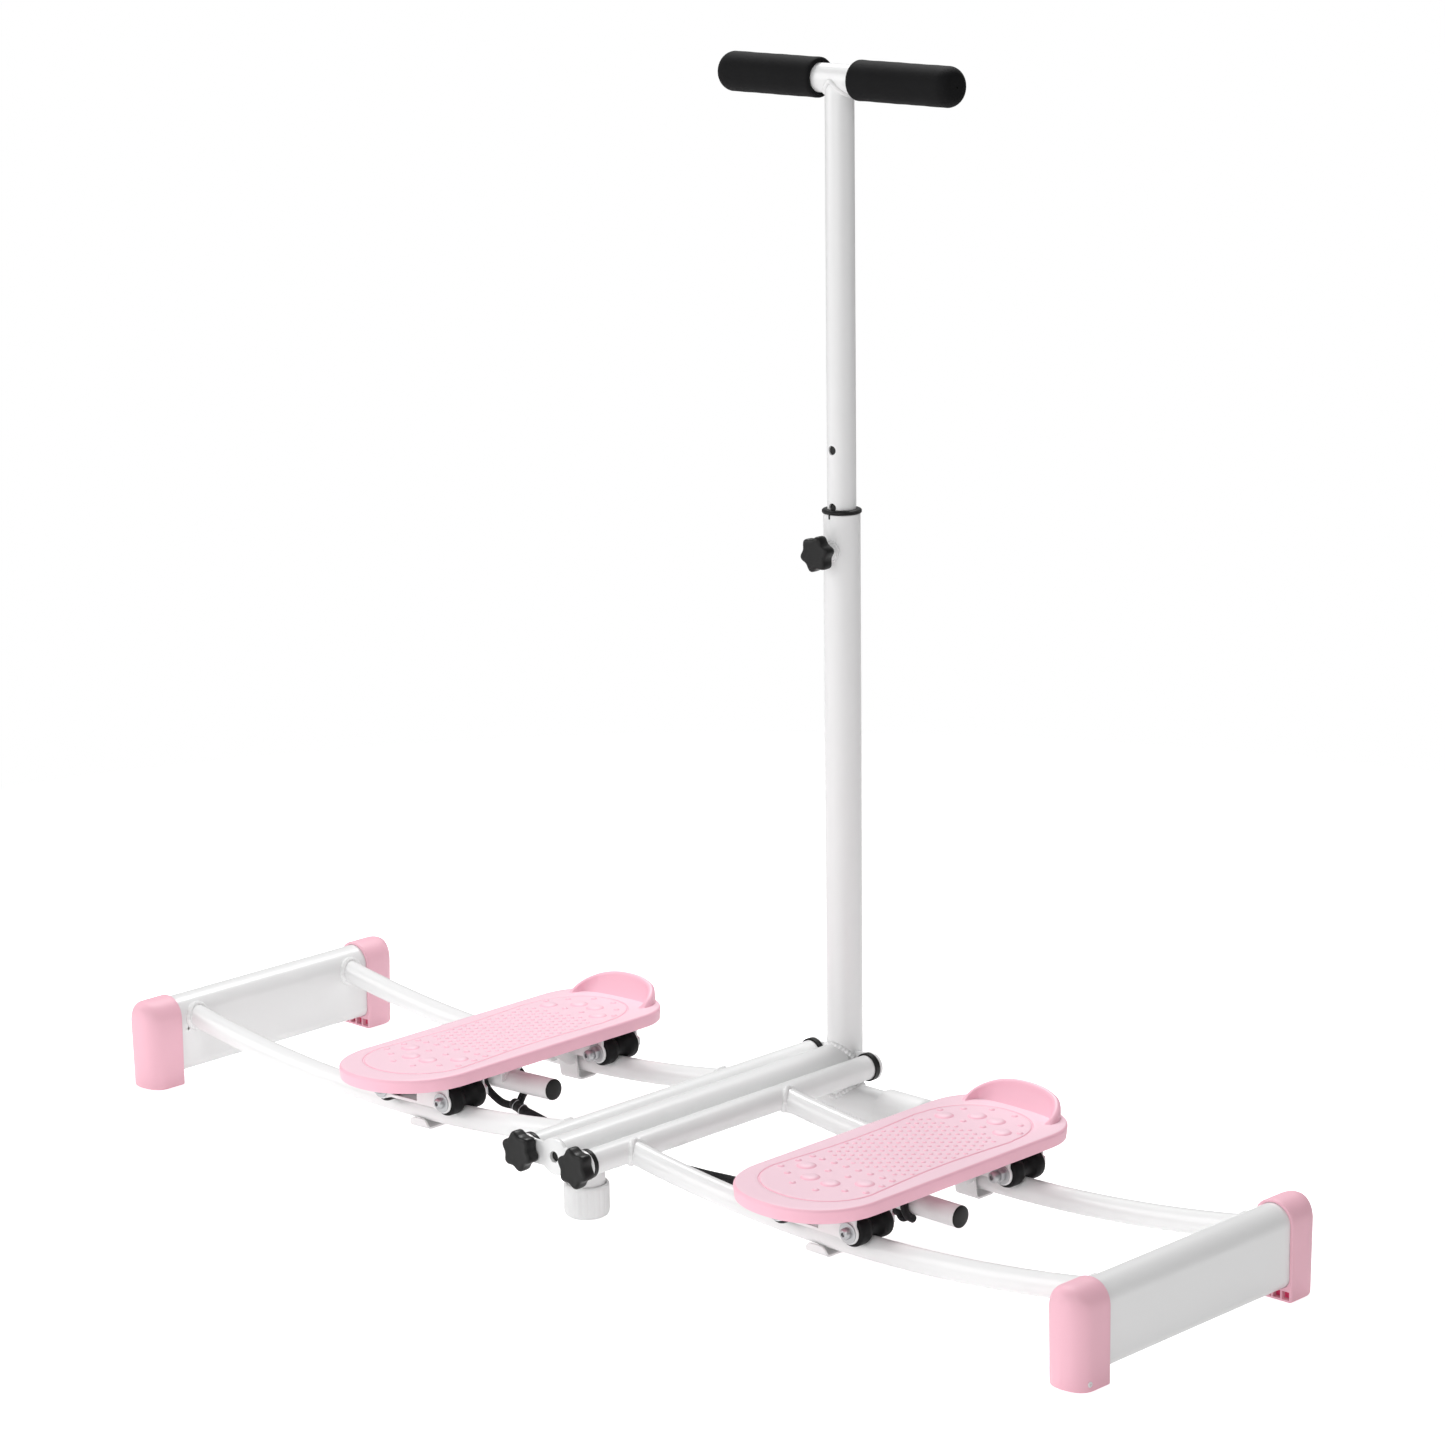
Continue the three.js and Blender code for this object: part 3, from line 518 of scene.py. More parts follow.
def weld_bead(path, radius=2.0, closed=True, pitch=3.4, ripple=0.3):
    """Rippled fillet of weld metal laid along a seam."""
    step = 0.7
    swell = ripple * radius / 2
    line = resampled(path, step, closed)
    return sweep(line, radius, 10, closed, lambda i: swell * cos(2 * pi * i * step / pitch))


def on_rail(shape, rest_x):
    """Swing a carriage shape, drawn round the low point of the rail, along the rail's arc."""
    centre = copysign(ARC_X, rest_x)
    swing = (centre - rest_x) / ARC_R
    points = np.asarray(shape[0], float)
    z = points[:, 2] - ARC_R
    x = points[:, 0]
    turned_x = x * cos(swing) + z * sin(swing)
    turned_z = z * cos(swing) - x * sin(swing)
    return np.c_[turned_x + centre, points[:, 1], turned_z + ARC_Z], shape[1]


# ------------------------------------------------------------------ fixed frame
def lobed_plate_outline():
    """Rear view of the hinge plates, in X and Z: a lobe over each hinge and one in the middle."""
    arm_half = 10.6
    neck = asin(arm_half / BEAM_R)
    lobe = radians(123)
    outline = []
    for start, side in ((0.0, 1), (pi, -1)):
        outline += arc((side * HINGE_X, 0.0), FLANGE_R, start - lobe, 2 * lobe, 25)
        outline += arc((0.0, 0.0), BEAM_R, start + neck, pi - 2 * neck, 21)
    return outline


def hinge_plate(y0, y1, hole_xs):
    """Plate across the ends of the beam and the hinge tubes, with its holes."""
    outline = [(-x, z) for x, z in reversed(lobed_plate_outline())]
    points, faces = plate_shape(outline, y0, y1, bevel=0.5)
    plate = (np.c_[-points[:, 0], points[:, 2], points[:, 1] + BEAM_Z], faces)
    holes = [rod("y", 4.9, y0 - 2, y1 + 2, x, BEAM_Z, segments=32, fillet=0.1) for x in hole_xs]
    return combined(plate, holes)


def round_seam(radius, centre, depth, count=90):
    """Seam round a bar that stands along Z; depth gives its height for each angle."""
    return [(centre[0] + radius * cos(a), centre[1] + radius * sin(a), centre[2] + depth(a))
            for a in full_turn(count)]


def post_seam(radius, post_radius, z, count):
    """Seam where a bar that lies along Y meets the front of the post."""
    return [(radius * cos(a), POST_Y - saddle(post_radius, radius * cos(a)), z + radius * sin(a))
            for a in full_turn(count)]


def saddle(radius, offset):
    """Height of a lying bar's skin above its middle, at an offset across it."""
    return sqrt(max(radius ** 2 - offset ** 2, 0.0))


def build_fixed_frame():
    beam = join(
        pipe("y", BEAM_R, BEAM_R - WALL, FRONT_Y + GAP, POST_Y - POST_R + 4, 0, BEAM_Z, 72),
        rod("z", BEAM_R, 3.4, BEAM_Z - 6, 0, FOOT_Y, 72),
    )
    stand_in("center_beam", beam, WHITE)
    seam = round_seam(BEAM_R, (0.0, FOOT_Y, BEAM_Z), lambda a: -max(saddle(BEAM_R, BEAM_R * cos(a)), 1.5))
    piece("foot_stub_weld", weld_bead(seam, 2.0), WHITE)
    seam = post_seam(BEAM_R, POST_R + WELD_LIFT, BEAM_Z, 90)
    piece("beam_post_weld", weld_bead(seam, 2.6), WHITE)

    plate = hinge_plate(FRONT_Y - PLATE_T, FRONT_Y, (0.0,))
    stand_in("front_plate", plate, WHITE)
    shade = rod("y", BEAM_R - 2.4, FRONT_Y + 0.6, FRONT_Y + 1.6, 0, BEAM_Z, 48, 0.1)
    piece("beam_end_shade", shade, DARK)
    plate = hinge_plate(EAR_Y, EAR_Y + PLATE_T, ())
    piece("rear_plate", plate, WHITE)
    for word, side in SIDES:
        pin = rod("y", PIN_R, EAR_Y - 17, EAR_Y + 1, side * HINGE_X, BEAM_Z, 32)
        piece(f"hinge_pin_{word}", pin, ZINC)
        nut = rod("y", 6.4, EAR_Y + PLATE_T - 0.2, EAR_Y + PLATE_T + 2.4, side * HINGE_X, BEAM_Z, 6, 0.5)
        piece(f"rear_pin_head_{word}", nut, ZINC)

    build_foot_cap()
    build_post()
    build_stabiliser()


def build_foot_cap():
    """Rubber foot under the beam with fine upright flutes."""
    flutes = 22
    depth = 0.42
    outside = ((6.0, 0.0), (3.4, 0.4), (1.5, 1.6), (0.45, 3.6), (0.1, 6.5), (0.1, 25.0), (0.1, 27.2),
               (0.8, 28.6), (1.7, 29.0))
    profile = [(FOOT_R - inset, z) for inset, z in outside]
    profile += [(BEAM_R + 0.9, 28.8), (BEAM_R + GAP, 28.0), (BEAM_R + GAP, 3.0)]
    fluted = {3, 4, 5}

    def ripple(angles, index):
        if index not in fluted:
            return np.zeros_like(angles)
        return -depth * (1 - np.abs(np.cos(angles * flutes / 2)) ** 0.6)

    cap = moved(lathe(profile, flutes * 8, ripple=ripple), y=FOOT_Y)
    stand_in("foot_cap", cap, RUBBER, angle=40)


def build_post():
    tube = combined(
        pipe("z", POST_R, POST_R - TUBE_WALL, STAB_Z, POST_TOP, 0, POST_Y, 72),
        [rod("x", STAB_R, -30, 30, POST_Y, STAB_Z, 64)])
    stand_in("post_lower", tube, WHITE)
    seam = round_seam(POST_R, (0.0, POST_Y, STAB_Z), lambda a: saddle(STAB_R, POST_R * sin(a)), 100)
    piece("post_foot_weld", weld_bead(seam, 2.2), WHITE)

    section = ((BOSS_BORE, -9.0), (BOSS_R - 0.8, -9.0), (BOSS_R, -8.3), (BOSS_R, 2.2), (BOSS_BORE, 2.2))
    boss = turned(section, 40, "y", y=POST_Y - POST_R, z=KNOB_Z)
    piece("knob_boss", boss, WHITE)
    seam = post_seam(BOSS_R, POST_R, KNOB_Z, 60)
    piece("knob_boss_weld", weld_bead(seam, 1.5, pitch=2.6), WHITE)

    bore = MAST_R - POST_R + 0.35
    section = ((bore, -15), (-2.1, -15), (-2.1, 0.2), (0.9, 0.3), (1.3, 1.0), (1.2, 2.6), (0.4, 3.4),
               (-1.9, 4.2), (bore, 4.0))
    collar = lathe([(POST_R + rise, POST_TOP + z) for rise, z in section], 72, closed=True)
    tongue = box_shape(-0.7, 0.7, -POST_R - 0.5, -POST_R + 1.5, POST_TOP - 3.8, POST_TOP + 0.6, 0.2)
    stand_in("post_collar", moved(join(collar, tongue), y=POST_Y), BLACK)


def build_stabiliser():
    half = 93.0
    tube = pipe("x", STAB_R, STAB_R - WALL, -half, half, POST_Y, STAB_Z, 72)
    stand_in("stabilizer_tube", tube, WHITE)
    for word, side in SIDES:
        stand_in(f"stabilizer_cap_{word}", handed(stabiliser_cap(), side), RUBBER)


def stabiliser_cap():
    """Sleeve over the tube end with a flat tread below, drawn on the right side."""
    start = 49.5
    end = 97.0
    tread = 15.0
    sections = []
    for x, shrink in ((start, 0.5), (start + 0.5, 0.0), (end - 6, 0.0), (end - 3, 0.8), (end - 1.2, 2.2),
                      (end - 0.3, 4.2), (end, 7.0)):
        radius = STAB_CAP_R - shrink
        section = []
        for a in full_turn(96):
            y = radius * cos(a)
            z = radius * sin(a)
            if z < 0:
                z = -radius * (1 - (1 - abs(sin(a))) ** 1.6)
                y = copysign(max(abs(y), min(tread - shrink, radius) * (abs(sin(a)) > 0.999)), y)
            section.append((x, POST_Y + y, STAB_Z + z))
        sections.append(section)
    outer = loft(sections)
    foot = box_shape(start, end - 6, POST_Y - tread, POST_Y + tread, 0.0, STAB_Z - 9, 1.2)
    body = combined(outer, [foot], "UNION")
    bore = rod("x", STAB_R + GAP, 20, end - 3.5, POST_Y, STAB_Z, 72)
    return combined(body, [bore])


# ------------------------------------------------------------------ handle
def build_handle():
    tube = pipe("z", MAST_R, MAST_R - THIN_WALL, 380, HANDLE_Z - 4, 0, POST_Y, 72)
    hole_step = HOLE_Z[0] - HOLE_Z[1]
    holes = [rod("y", 4.0, POST_Y - MAST_R - 4, POST_Y - 4, 0, HOLE_Z[0] - i * hole_step, 32, 0.1)
             for i in range(4)]
    stand_in("post_upper", combined(tube, holes), WHITE, "handle")
    shade = rod("z", MAST_R - 1.7, HOLE_Z[1] - 3 * hole_step, HOLE_Z[0] + 12, 0, POST_Y, 48)
    piece("mast_bore_shade", shade, DARK, "handle")
    bar = pipe("x", MAST_R, MAST_R - THIN_WALL, -HANDLE_HALF, HANDLE_HALF, POST_Y, HANDLE_Z, 72)
    stand_in("handle_bar", bar, WHITE, "handle")
    seam = round_seam(MAST_R, (0.0, POST_Y, HANDLE_Z), lambda a: -max(saddle(MAST_R, MAST_R * sin(a)), 1.5))
    piece("handle_weld", weld_bead(seam, 2.3, pitch=2.8, ripple=0.05), WHITE, "handle")
    for word, side in SIDES:
        stand_in(f"grip_{word}", handed(foam_grip(), side), FOAM, "handle", angle=60)


def foam_grip():
    """Foam sleeve with a rolled inner rim and a soft domed end; its skin is very slightly uneven."""
    bore = MAST_R + GAP
    profile = [(bore, GRIP_START + 1.0), (bore + 1.0, GRIP_START + 0.2), (GRIP_R - 2.0, GRIP_START),
               (GRIP_R - 0.8, GRIP_START + 0.5), (GRIP_R - 0.15, GRIP_START + 1.8), (GRIP_R, GRIP_START + 4)]
    profile += [(GRIP_R - 0.15 + 0.072 * sin(x * 0.31) + 0.06 * sin(x * 0.113 + 1.0), x)
                for x in np.linspace(GRIP_START + 8, GRIP_END - 14, 22)]
    dome = 9.5
    profile += [(GRIP_R - dome + dome * cos(a) ** 0.9, GRIP_END - 11 + 11 * sin(a))
                for a in np.radians(np.linspace(10, 84, 10))]
    profile += [(4.5, GRIP_END - 0.15), (1.0, GRIP_END), (0.6, HANDLE_HALF + 0.6), (bore, HANDLE_HALF + 0.4)]
    return turned(profile, 72, "x", y=POST_Y, z=HANDLE_Z)


def star_knob(diameter, thickness, turn, stud_end):
    """Six-lobed grip towards -Y with a hub and a threaded stud towards +Y."""
    lobes = 6
    angles = full_turn(lobes * 20)
    swell = np.cos((angles - turn) * lobes)
    valley = 0.19
    radius = (diameter / 2) * (1 - valley + valley * ((1 + swell) / 2) ** 1.25)
    lobed = np.c_[radius * np.sin(angles), radius * np.cos(angles)]
    levels = ((0.0, 0.80), (-0.5, 0.90), (-1.4, 0.96), (-3.0, 0.99), (-thickness * 0.55, 1.0),
              (2.4 - thickness, 0.995), (1.2 - thickness, 0.97), (0.4 - thickness, 0.92),
              (-thickness, 0.85), (0.25 - thickness, 0.72), (0.3 - thickness, 0.40))
    grip = loft([across_y(lobed * scale, y) for y, scale in levels])
    hub = rod("y", diameter * 0.27, -1.0, 0.9, 0, 0, 40, 0.3)
    stud = rod("y", BOLT_R, 0.0, stud_end, 0, 0, 24, 0.5)
    threads = [turned([(BOLT_R, 0.0), (BOLT_R + 0.35, 0.4), (BOLT_R, 0.8)], 24, "y", y=y)
               for y in np.arange(2.0, stud_end - 2.0, 1.0)]
    return join(grip, hub, stud, *threads)


def build_height_knob():
    face = POST_Y - POST_R - 9.3
    stud_end = POST_Y - MAST_R - 0.6 - face
    shape = moved(star_knob(32.6, 12, 0.25, stud_end), y=face, z=KNOB_Z)
    stand_in("knob_height", shape, BLACK, "knob_height", angle=48)


# ------------------------------------------------------------------ side frames
# They are drawn on the right.
def rail_z(x):
    """Height of the right rails' middle line."""
    return ARC_Z - sqrt(ARC_R ** 2 - (x - ARC_X) ** 2)


def loaf(half_width, bottom, top, corner):
    """Section of the end beams in X and Z: round top and soft bottom corners, anticlockwise."""
    side = half_width - corner
    low = bottom + corner
    return np.array(arc((side, low), corner, -pi / 2, pi / 2, 9)
                    + arc((0.0, top - half_width), half_width, 0.0, pi, 36)
                    + arc((-side, low), corner, pi, pi / 2, 9))


def end_beam():
    """Hollow beam across the rail ends with a small drain hole in its inner side."""
    outer = loaf(END_HALF, END_BOTTOM, END_TOP, END_CORNER)
    inner = loaf(END_HALF - WALL, END_BOTTOM + WALL, END_TOP - WALL, END_CORNER - WALL)
    tube = loft([across_y(outer, -BEAM_END), across_y(outer, BEAM_END), across_y(inner, BEAM_END),
                 across_y(inner, -BEAM_END)], closed=True)
    drain = rod("x", 1.6, -END_HALF - 3, -END_HALF + 3, -RAIL_Y - 10.5, 51, 20, 0.1)
    return moved(combined(tube, [drain]), x=END_X)


def end_cap():
    """Plastic boot over the beam end, open towards the middle, drawn for the +Y end of the right beam."""
    depth = CAP_OUT - CAP_IN
    straight = 19.0
    fall_span = 13.0
    soft = 1.6
    rim_inset = {0.0: 0.55, 0.35: 0.16}
    rings = []
    for s in [0.0, 0.35, 0.8, 4.0, 10.0, 16.0, *np.linspace(18.0, depth - 0.05, 16)]:
        past = max(0.0, (s - straight) / (depth - straight))
        fall = max(0.0, (s - (depth - fall_span)) / fall_span)
        top = CAP_TOP - 11.5 * (1 - sqrt(1 - fall ** 2.2))
        inset = rim_inset.get(s, 0.0)
        width = max(CAP_HALF * (1 - past ** 2.5) ** (1 / 2.3), 1.2) - inset
        arch = min(CAP_HALF, width + 5.0)
        low = 1.5 * past ** 2 + soft
        crown = [(width * copysign(abs(cos(a)) ** 0.92, cos(a)), top - inset - arch + arch * sin(a) ** 0.96)
                 for a in np.linspace(0, 1, 40) * pi]
        ring = np.array(arc((width - soft, low), soft, -pi / 2, pi / 2, 5) + crown
                        + arc((soft - width, low), soft, pi, pi / 2, 5))
        lean = 2.4 * (1 - np.clip(ring[:, 1] / CAP_TOP, 0, 1)) * (s / depth)
        rings.append(across_y(ring, CAP_IN + s) - np.c_[0 * lean, lean, 0 * lean])
    pocket_section = loaf(END_HALF + GAP, END_BOTTOM - GAP, END_TOP + GAP, END_CORNER)
    pocket = loft([across_y(pocket_section, y) for y in (CAP_IN - 3, BEAM_END + GAP)])
    rib = 1.5
    pitch = (2 * (CAP_HALF - 2.3) + rib) / 4
    lefts = [2.3 - CAP_HALF + i * pitch for i in range(4)]
    cells = [box_shape(x, x + pitch - rib, CAP_IN - 2, CAP_OUT - 17, 1.6, 8.6, 0.3) for x in lefts]
    return combined(combined(loft(rings), [pocket]), cells)


def cap_screw():
    """Small cross-head screw low on the boot's outer side."""
    head = rod("x", 2.3, CAP_HALF - 0.6, CAP_HALF + 0.45, 0, 0, 28, 0.35)
    slots = [box_shape(CAP_HALF - 0.1, CAP_HALF + 1.0, -y, y, -z, z, 0.0)
             for y, z in ((1.5, 0.3), (0.3, 1.5))]
    return combined(head, slots)


def bushing(rim):
    """Flanged plastic bearing of a hinge tube, drawn from its outer face towards +Y."""
    bore = 4.3
    spigot = 8.9
    length = 15.0
    seat = HINGE_R + 0.15
    edge = 0.5
    return turned([
        (bore, 0.0), (FLANGE_R - edge, 0.0), (FLANGE_R, edge), (FLANGE_R, rim - edge),
        (FLANGE_R - edge, rim), (seat, rim), (seat, FLANGE_T), (spigot, FLANGE_T + 0.1),
        (spigot, length), (bore, length),
    ], 56, "y")


def side_parts():
    """Every piece of the right side frame: name, shape, material, and whether it replaces a CAD node."""
    front = FRONT_Y + GAP
    rear = EAR_Y - GAP
    inset = FLANGE_T + GAP
    tube = pipe("y", HINGE_R, HINGE_R - TUBE_WALL, front + inset, rear - inset, HINGE_X, BEAM_Z, 64)
    parts = [
        ("hinge_tube", tube, WHITE, True),
        ("bushing_front", moved(bushing(4.6), HINGE_X, front, BEAM_Z), BLACK, True),
        ("bushing_rear", moved(flipped(bushing(5.6), 1), HINGE_X, rear, BEAM_Z), BLACK, True),
    ]
    xs = np.linspace(HINGE_X + 3.5, END_X - END_HALF + 1.2, 90)
    for where, y in (("front", -RAIL_Y), ("rear", RAIL_Y)):
        rail = sweep([(x, y, rail_z(x)) for x in xs], RAIL_R, 48)
        parts.append((f"rail_{where}", rail, WHITE, True))
        parts.append((f"rail_hinge_weld_{where}", weld_bead(hinge_seam(y), 2.3, ripple=0.16), WHITE, False))
        parts.append((f"rail_beam_weld_{where}", weld_bead(beam_seam(y), 2.9, ripple=0.16), WHITE, False))
    cap = moved(end_cap(), END_X)
    # Painted shade: a deep pink block behind the caps' open cells stands in for the shade and the light
    # through the plastic in the hollow.
    shaded_fill = moved(box_shape(2.6 - CAP_HALF, CAP_HALF - 2.6, CAP_IN + 4.5, CAP_OUT - 20, 2.0, 8.2, 0.2), END_X)
    return parts + [
        ("end_beam", end_beam(), WHITE, True),
        ("end_cap_rear", cap, CAP_PINK, True),
        ("end_cap_front", flipped(cap, 1), CAP_PINK, True),
        ("end_cap_shade_fill_rear", shaded_fill, PINK_PAINTED_SHADE, False),
        ("end_cap_shade_fill_front", flipped(shaded_fill, 1), PINK_PAINTED_SHADE, False),
        ("cap_screw_front", moved(cap_screw(), END_X - GAP, -136.5, 6.8), RUBBER, False),
    ]


def hinge_seam(y):
    """Where a rail meets its hinge tube."""
    ring = RAIL_R + WELD_LIFT
    seam = []
    for a in full_turn(70):
        x = HINGE_X + HINGE_R
        for _ in range(4):
            z = rail_z(x) + ring * sin(a)
            x = HINGE_X + sqrt(max(HINGE_R ** 2 - (z - BEAM_Z) ** 2, 14.0))
        seam.append((x + 0.6, y + ring * cos(a), rail_z(x) + ring * sin(a)))
    return seam


def beam_seam(y):
    """Where a rail meets the end beam."""
    ring = RAIL_R + WELD_LIFT
    face = END_X - END_HALF
    shoulder = END_TOP - END_HALF
    seam = []
    for a in full_turn(70):
        z = rail_z(face) + ring * sin(a)
        x = END_X - saddle(END_HALF, max(z - shoulder, 0.0))
        seam.append((x - 0.6, y + ring * cos(a), z))
    return seam


def build_side_frames():
    parts = side_parts()
    for word, side in SIDES:
        for name, shape, material, replaces in parts:
            nodes = [f"{name}_{word}"] if replaces else ()
            piece(f"{name}_{word}_look", handed(shape, side), material, f"side_{word}", nodes)
        knob = moved(star_knob(35, 12.5, -0.23, 20), side * HINGE_X, FRONT_Y - PLATE_T - GAP, BEAM_Z)
        stand_in(f"knob_{word}", knob, BLACK, f"knob_{word}", angle=48)


# ------------------------------------------------------------------ carriages
# They are drawn round the low point of the rails' middle line and swung to their place by on_rail.
def sheet_y(outline, y0, y1, bevel=0.35):
    """Plate drawn in X and Z with its thickness along Y."""
    points, faces = plate_shape(outline, y0, y1, bevel)
    return points[:, [0, 2, 1]], faces


def sheet_x(outline, x0, x1, bevel=0.35):
    """Plate drawn in Y and Z with its thickness along X."""
    points, faces = plate_shape(outline, x0, x1, bevel)
    return points[:, [2, 0, 1]], faces


def axle_plate(y0):
    """Side plate of a carriage: a round end over each axle, a straight tie and an open window."""
    tie = AXLE_Z - 6.5
    end_r = 9.8
    outline = [(AXLE_X + 7.5, BRACKET_TOP), (-AXLE_X - 7.5, BRACKET_TOP)]
    outline += arc((-AXLE_X, AXLE_Z), end_r, radians(140), radians(160), 10)
    outline += [(-AXLE_X + 12, tie), (AXLE_X - 12, tie)]
    outline += arc((AXLE_X, AXLE_Z), end_r, radians(240), radians(160), 10)
    plate = sheet_y(outline, y0, y0 + SHEET)
    window = box_shape(13 - AXLE_X, 46 - AXLE_X, y0 - 2, y0 + 4, tie + 2.6, BRACKET_TOP - 3.5, 0.0)
    return combined(plate, [window])


def bent_strip(path, half_widths, middles, thickness):
    """Sheet-metal strip whose centre line is drawn in Y and Z."""
    tangents = unit_rows(np.gradient(path, axis=0))
    rings = []
    t = thickness / 2
    soft = 0.45
    for point, tangent, half, middle_x in zip(path, tangents, half_widths, middles):
        normal = np.array([-tangent[1], tangent[0]])
        corners = ((half, -t + soft), (half, t - soft), (half - soft, t), (-half + soft, t),
                   (-half, t - soft), (-half, -t + soft), (-half + soft, -t), (half - soft, -t))
        rings.append([(middle_x + across, *(point + normal * off)) for across, off in corners])
    return loft(rings)


def rail_hook(centre_y):
    """Strip that hangs beside the rail and curls under it."""
    inward = -1 if centre_y > 0 else 1
    stem_y = centre_y + inward * 13.5
    low = -15.0
    bend = 5.0
    curl = 4.2
    path = [(stem_y, z) for z in np.linspace(BRACKET_TOP - 1, low + bend, 14)]
    path += [(stem_y - inward * bend * (1 - cos(a)), low + bend - bend * sin(a))
             for a in np.radians(np.linspace(10, 90, 9))]
    end_y = centre_y - inward * 5.6
    start_y = path[-1][0]
    path += [(start_y + (end_y - start_y) * t, low) for t in np.linspace(0.12, 1, 12)]
    path += [(end_y - inward * curl * sin(a), low + curl * (1 - cos(a))) for a in (0.4, 0.8, 1.2, 1.57)]
    path += [(end_y - inward * curl, low + z) for z in (5.5, 6.6, 7.4, 8.0)]
    path = np.array(path)
    travelled = np.r_[0, np.cumsum(np.linalg.norm(np.diff(path, axis=0), axis=1))]
    left = travelled[-1] - travelled
    corner = 6.0
    widths = []
    middles = []
    for remaining, (_, z) in zip(left, path):
        low_down = min(1.0, max(0.0, (16 - z) / 26))
        width = 12.0 - 0.5 * low_down
        if remaining < corner:
            width -= corner * (1 - sqrt(max(0.0, 1 - (1 - remaining / corner) ** 2)))
        widths.append(width)
        middles.append(CHANNEL_X - 1.0 + 3.0 * low_down)
    return bent_strip(path, widths, middles, SHEET)


def channel_flange(x0):
    """Cross wall of the chassis between the rails, cut out round the crossbar."""
    reach = RAIL_Y - RAIL_R - 3.5
    slope = [(-reach, BRACKET_TOP), (-reach, 3), (-reach + 3, 0.3), (-reach + 9, 0.3), (-46, 17.5),
             (-42, 19.6), (-14, 20), (-12, 18)]
    outline = slope + [(-12, CROSSBAR_Z), (12, CROSSBAR_Z)] + [(-y, z) for y, z in reversed(slope)]
    return sheet_x(outline, x0, x0 + SHEET)


def chassis():
    """Sheet-metal carriage: a channel across the rails, a bracket and a hook at each rail, a crossbar."""
    left = CHANNEL_X - CHANNEL_HALF
    right = CHANNEL_X + CHANNEL_HALF
    shapes = [box_shape(left, right, -84, 84, BRACKET_TOP - 1.8, BRACKET_TOP, 0.4)]
    shapes += [channel_flange(left), channel_flange(right - SHEET)]
    half = AXLE_X + 9
    for centre_y in (-RAIL_Y, RAIL_Y):
        front = centre_y - ROLLER_HALF - 2.3
        rear = centre_y + ROLLER_REAR + GAP
        shapes += [axle_plate(front), axle_plate(rear), rail_hook(centre_y)]
        shapes.append(box_shape(-half, half, front, rear + SHEET, BRACKET_TOP - 1.7, BRACKET_TOP, 0.4))
    shapes.append(pipe("x", CROSSBAR_R, CROSSBAR_R - THIN_WALL, *CROSSBAR_X, 0, CROSSBAR_Z, 56))
    for x in (left - GAP, right + GAP):
        seam = arc((0.0, CROSSBAR_Z), CROSSBAR_R + GAP, radians(10), radians(160), 40)
        shapes.append(weld_bead([(x, *point) for point in seam], 1.3, closed=False, pitch=2.4))
    return join(*shapes)


def crossbar_plug():
    """Push-in end plug facing +X with a softly domed head."""
    head = [(CROSSBAR_R - 1.9, -9.0), (CROSSBAR_R - 1.9, 0.0), (CROSSBAR_R - 0.1, 0.1), (CROSSBAR_R, 0.5)]
    head += [(CROSSBAR_R * cos(a), 0.9 + 1.7 * sin(a)) for a in np.linspace(0.25, 1.45, 8)]
    return along(lathe(head, 48), "x")


def roller():
    """Black roller: a waist that follows the rail between two soft shoulders."""
    deep = AXLE_Z - RAIL_R - 0.25
    edge = [(4.4, 0.0), (10.4, 0.0), (11.5, 0.3), (12.3, 1.1), (12.7, 2.4), (ROLLER_R, 4.0)]
    profile = [(radius, -ROLLER_HALF + y) for radius, y in edge]
    for y in np.linspace(-ROLLER_HALF + 5.5, ROLLER_REAR - 4.6, 41):
        hug = AXLE_Z - 0.25 - sqrt(max(RAIL_R ** 2 - y * y, 0.0))
        shoulder = ROLLER_R - 1.1 * exp(-(max(abs(y) - 7.4, 0.0) / 2.2) ** 2)
        profile.append((max(deep, min(ROLLER_R, hug, shoulder)), y))
    profile += [(radius, ROLLER_REAR - y) for radius, y in reversed(edge)]
    return turned(profile, 56, "y")


def axle_bolt(extra):
    """Button-head bolt with its washer towards -Y and a hexagon nut towards +Y; extra holds a lock nut."""
    plate = ROLLER_HALF + 2.6
    washer = rod("y", 8.6, -plate - 1.3, -plate, 0, 0, 44, 0.3)
    dome = ((2.8, 6.3), (3.9, 5.7), (4.6, 4.8), (4.9, 3.6), (4.9, 1.35))
    head = along(lathe([(radius, -plate - height) for radius, height in dome], 40), "y")
    socket = rod("y", 2.15, -plate - 8, -plate - 3.6, 0, 0, 6, 0.05)
    head = moved(combined(head, [socket]), y=-extra)
    rear = ROLLER_REAR + 2.6
    if extra:
        head = join(head, rod("y", 6.4, -plate - 1.3 - extra + 2.0, -plate - 1.3, 0, 0, 6, 0.5))
    shank = rod("y", BOLT_R, -plate - 1.6 - extra, rear + 6.6, 0, 0, 24, 0.5)
    rear_washer = rod("y", 7.6, rear, rear + 1.0, 0, 0, 44, 0.25)
    nut = rod("y", 6.3, rear + 1.0, rear + 5.4, 0, 0, 6, 0.6)
    return join(washer, head, shank, rear_washer, nut)


# ------------------------------------------------------------------ pedals
def end_quarter(width, start, reach, steps, power):
    """Quarter of a rounded end from the tip to full width; reach is negative for the heel."""
    return [(width * sin(a) ** (2 / power), start + reach * cos(a) ** (2 / power))
            for a in np.linspace(0, 1, steps) * pi / 2]


def even_loop(half, step):
    """Close a right-hand outline with its mirror image and space the points evenly, anticlockwise."""
    half = np.array(half)
    loop = np.vstack([half, (half * [-1, 1])[::-1][1:-1]])
    spaced = resampled(np.c_[loop, np.zeros(len(loop))], step, closed=True)
    return spaced[:, :2]


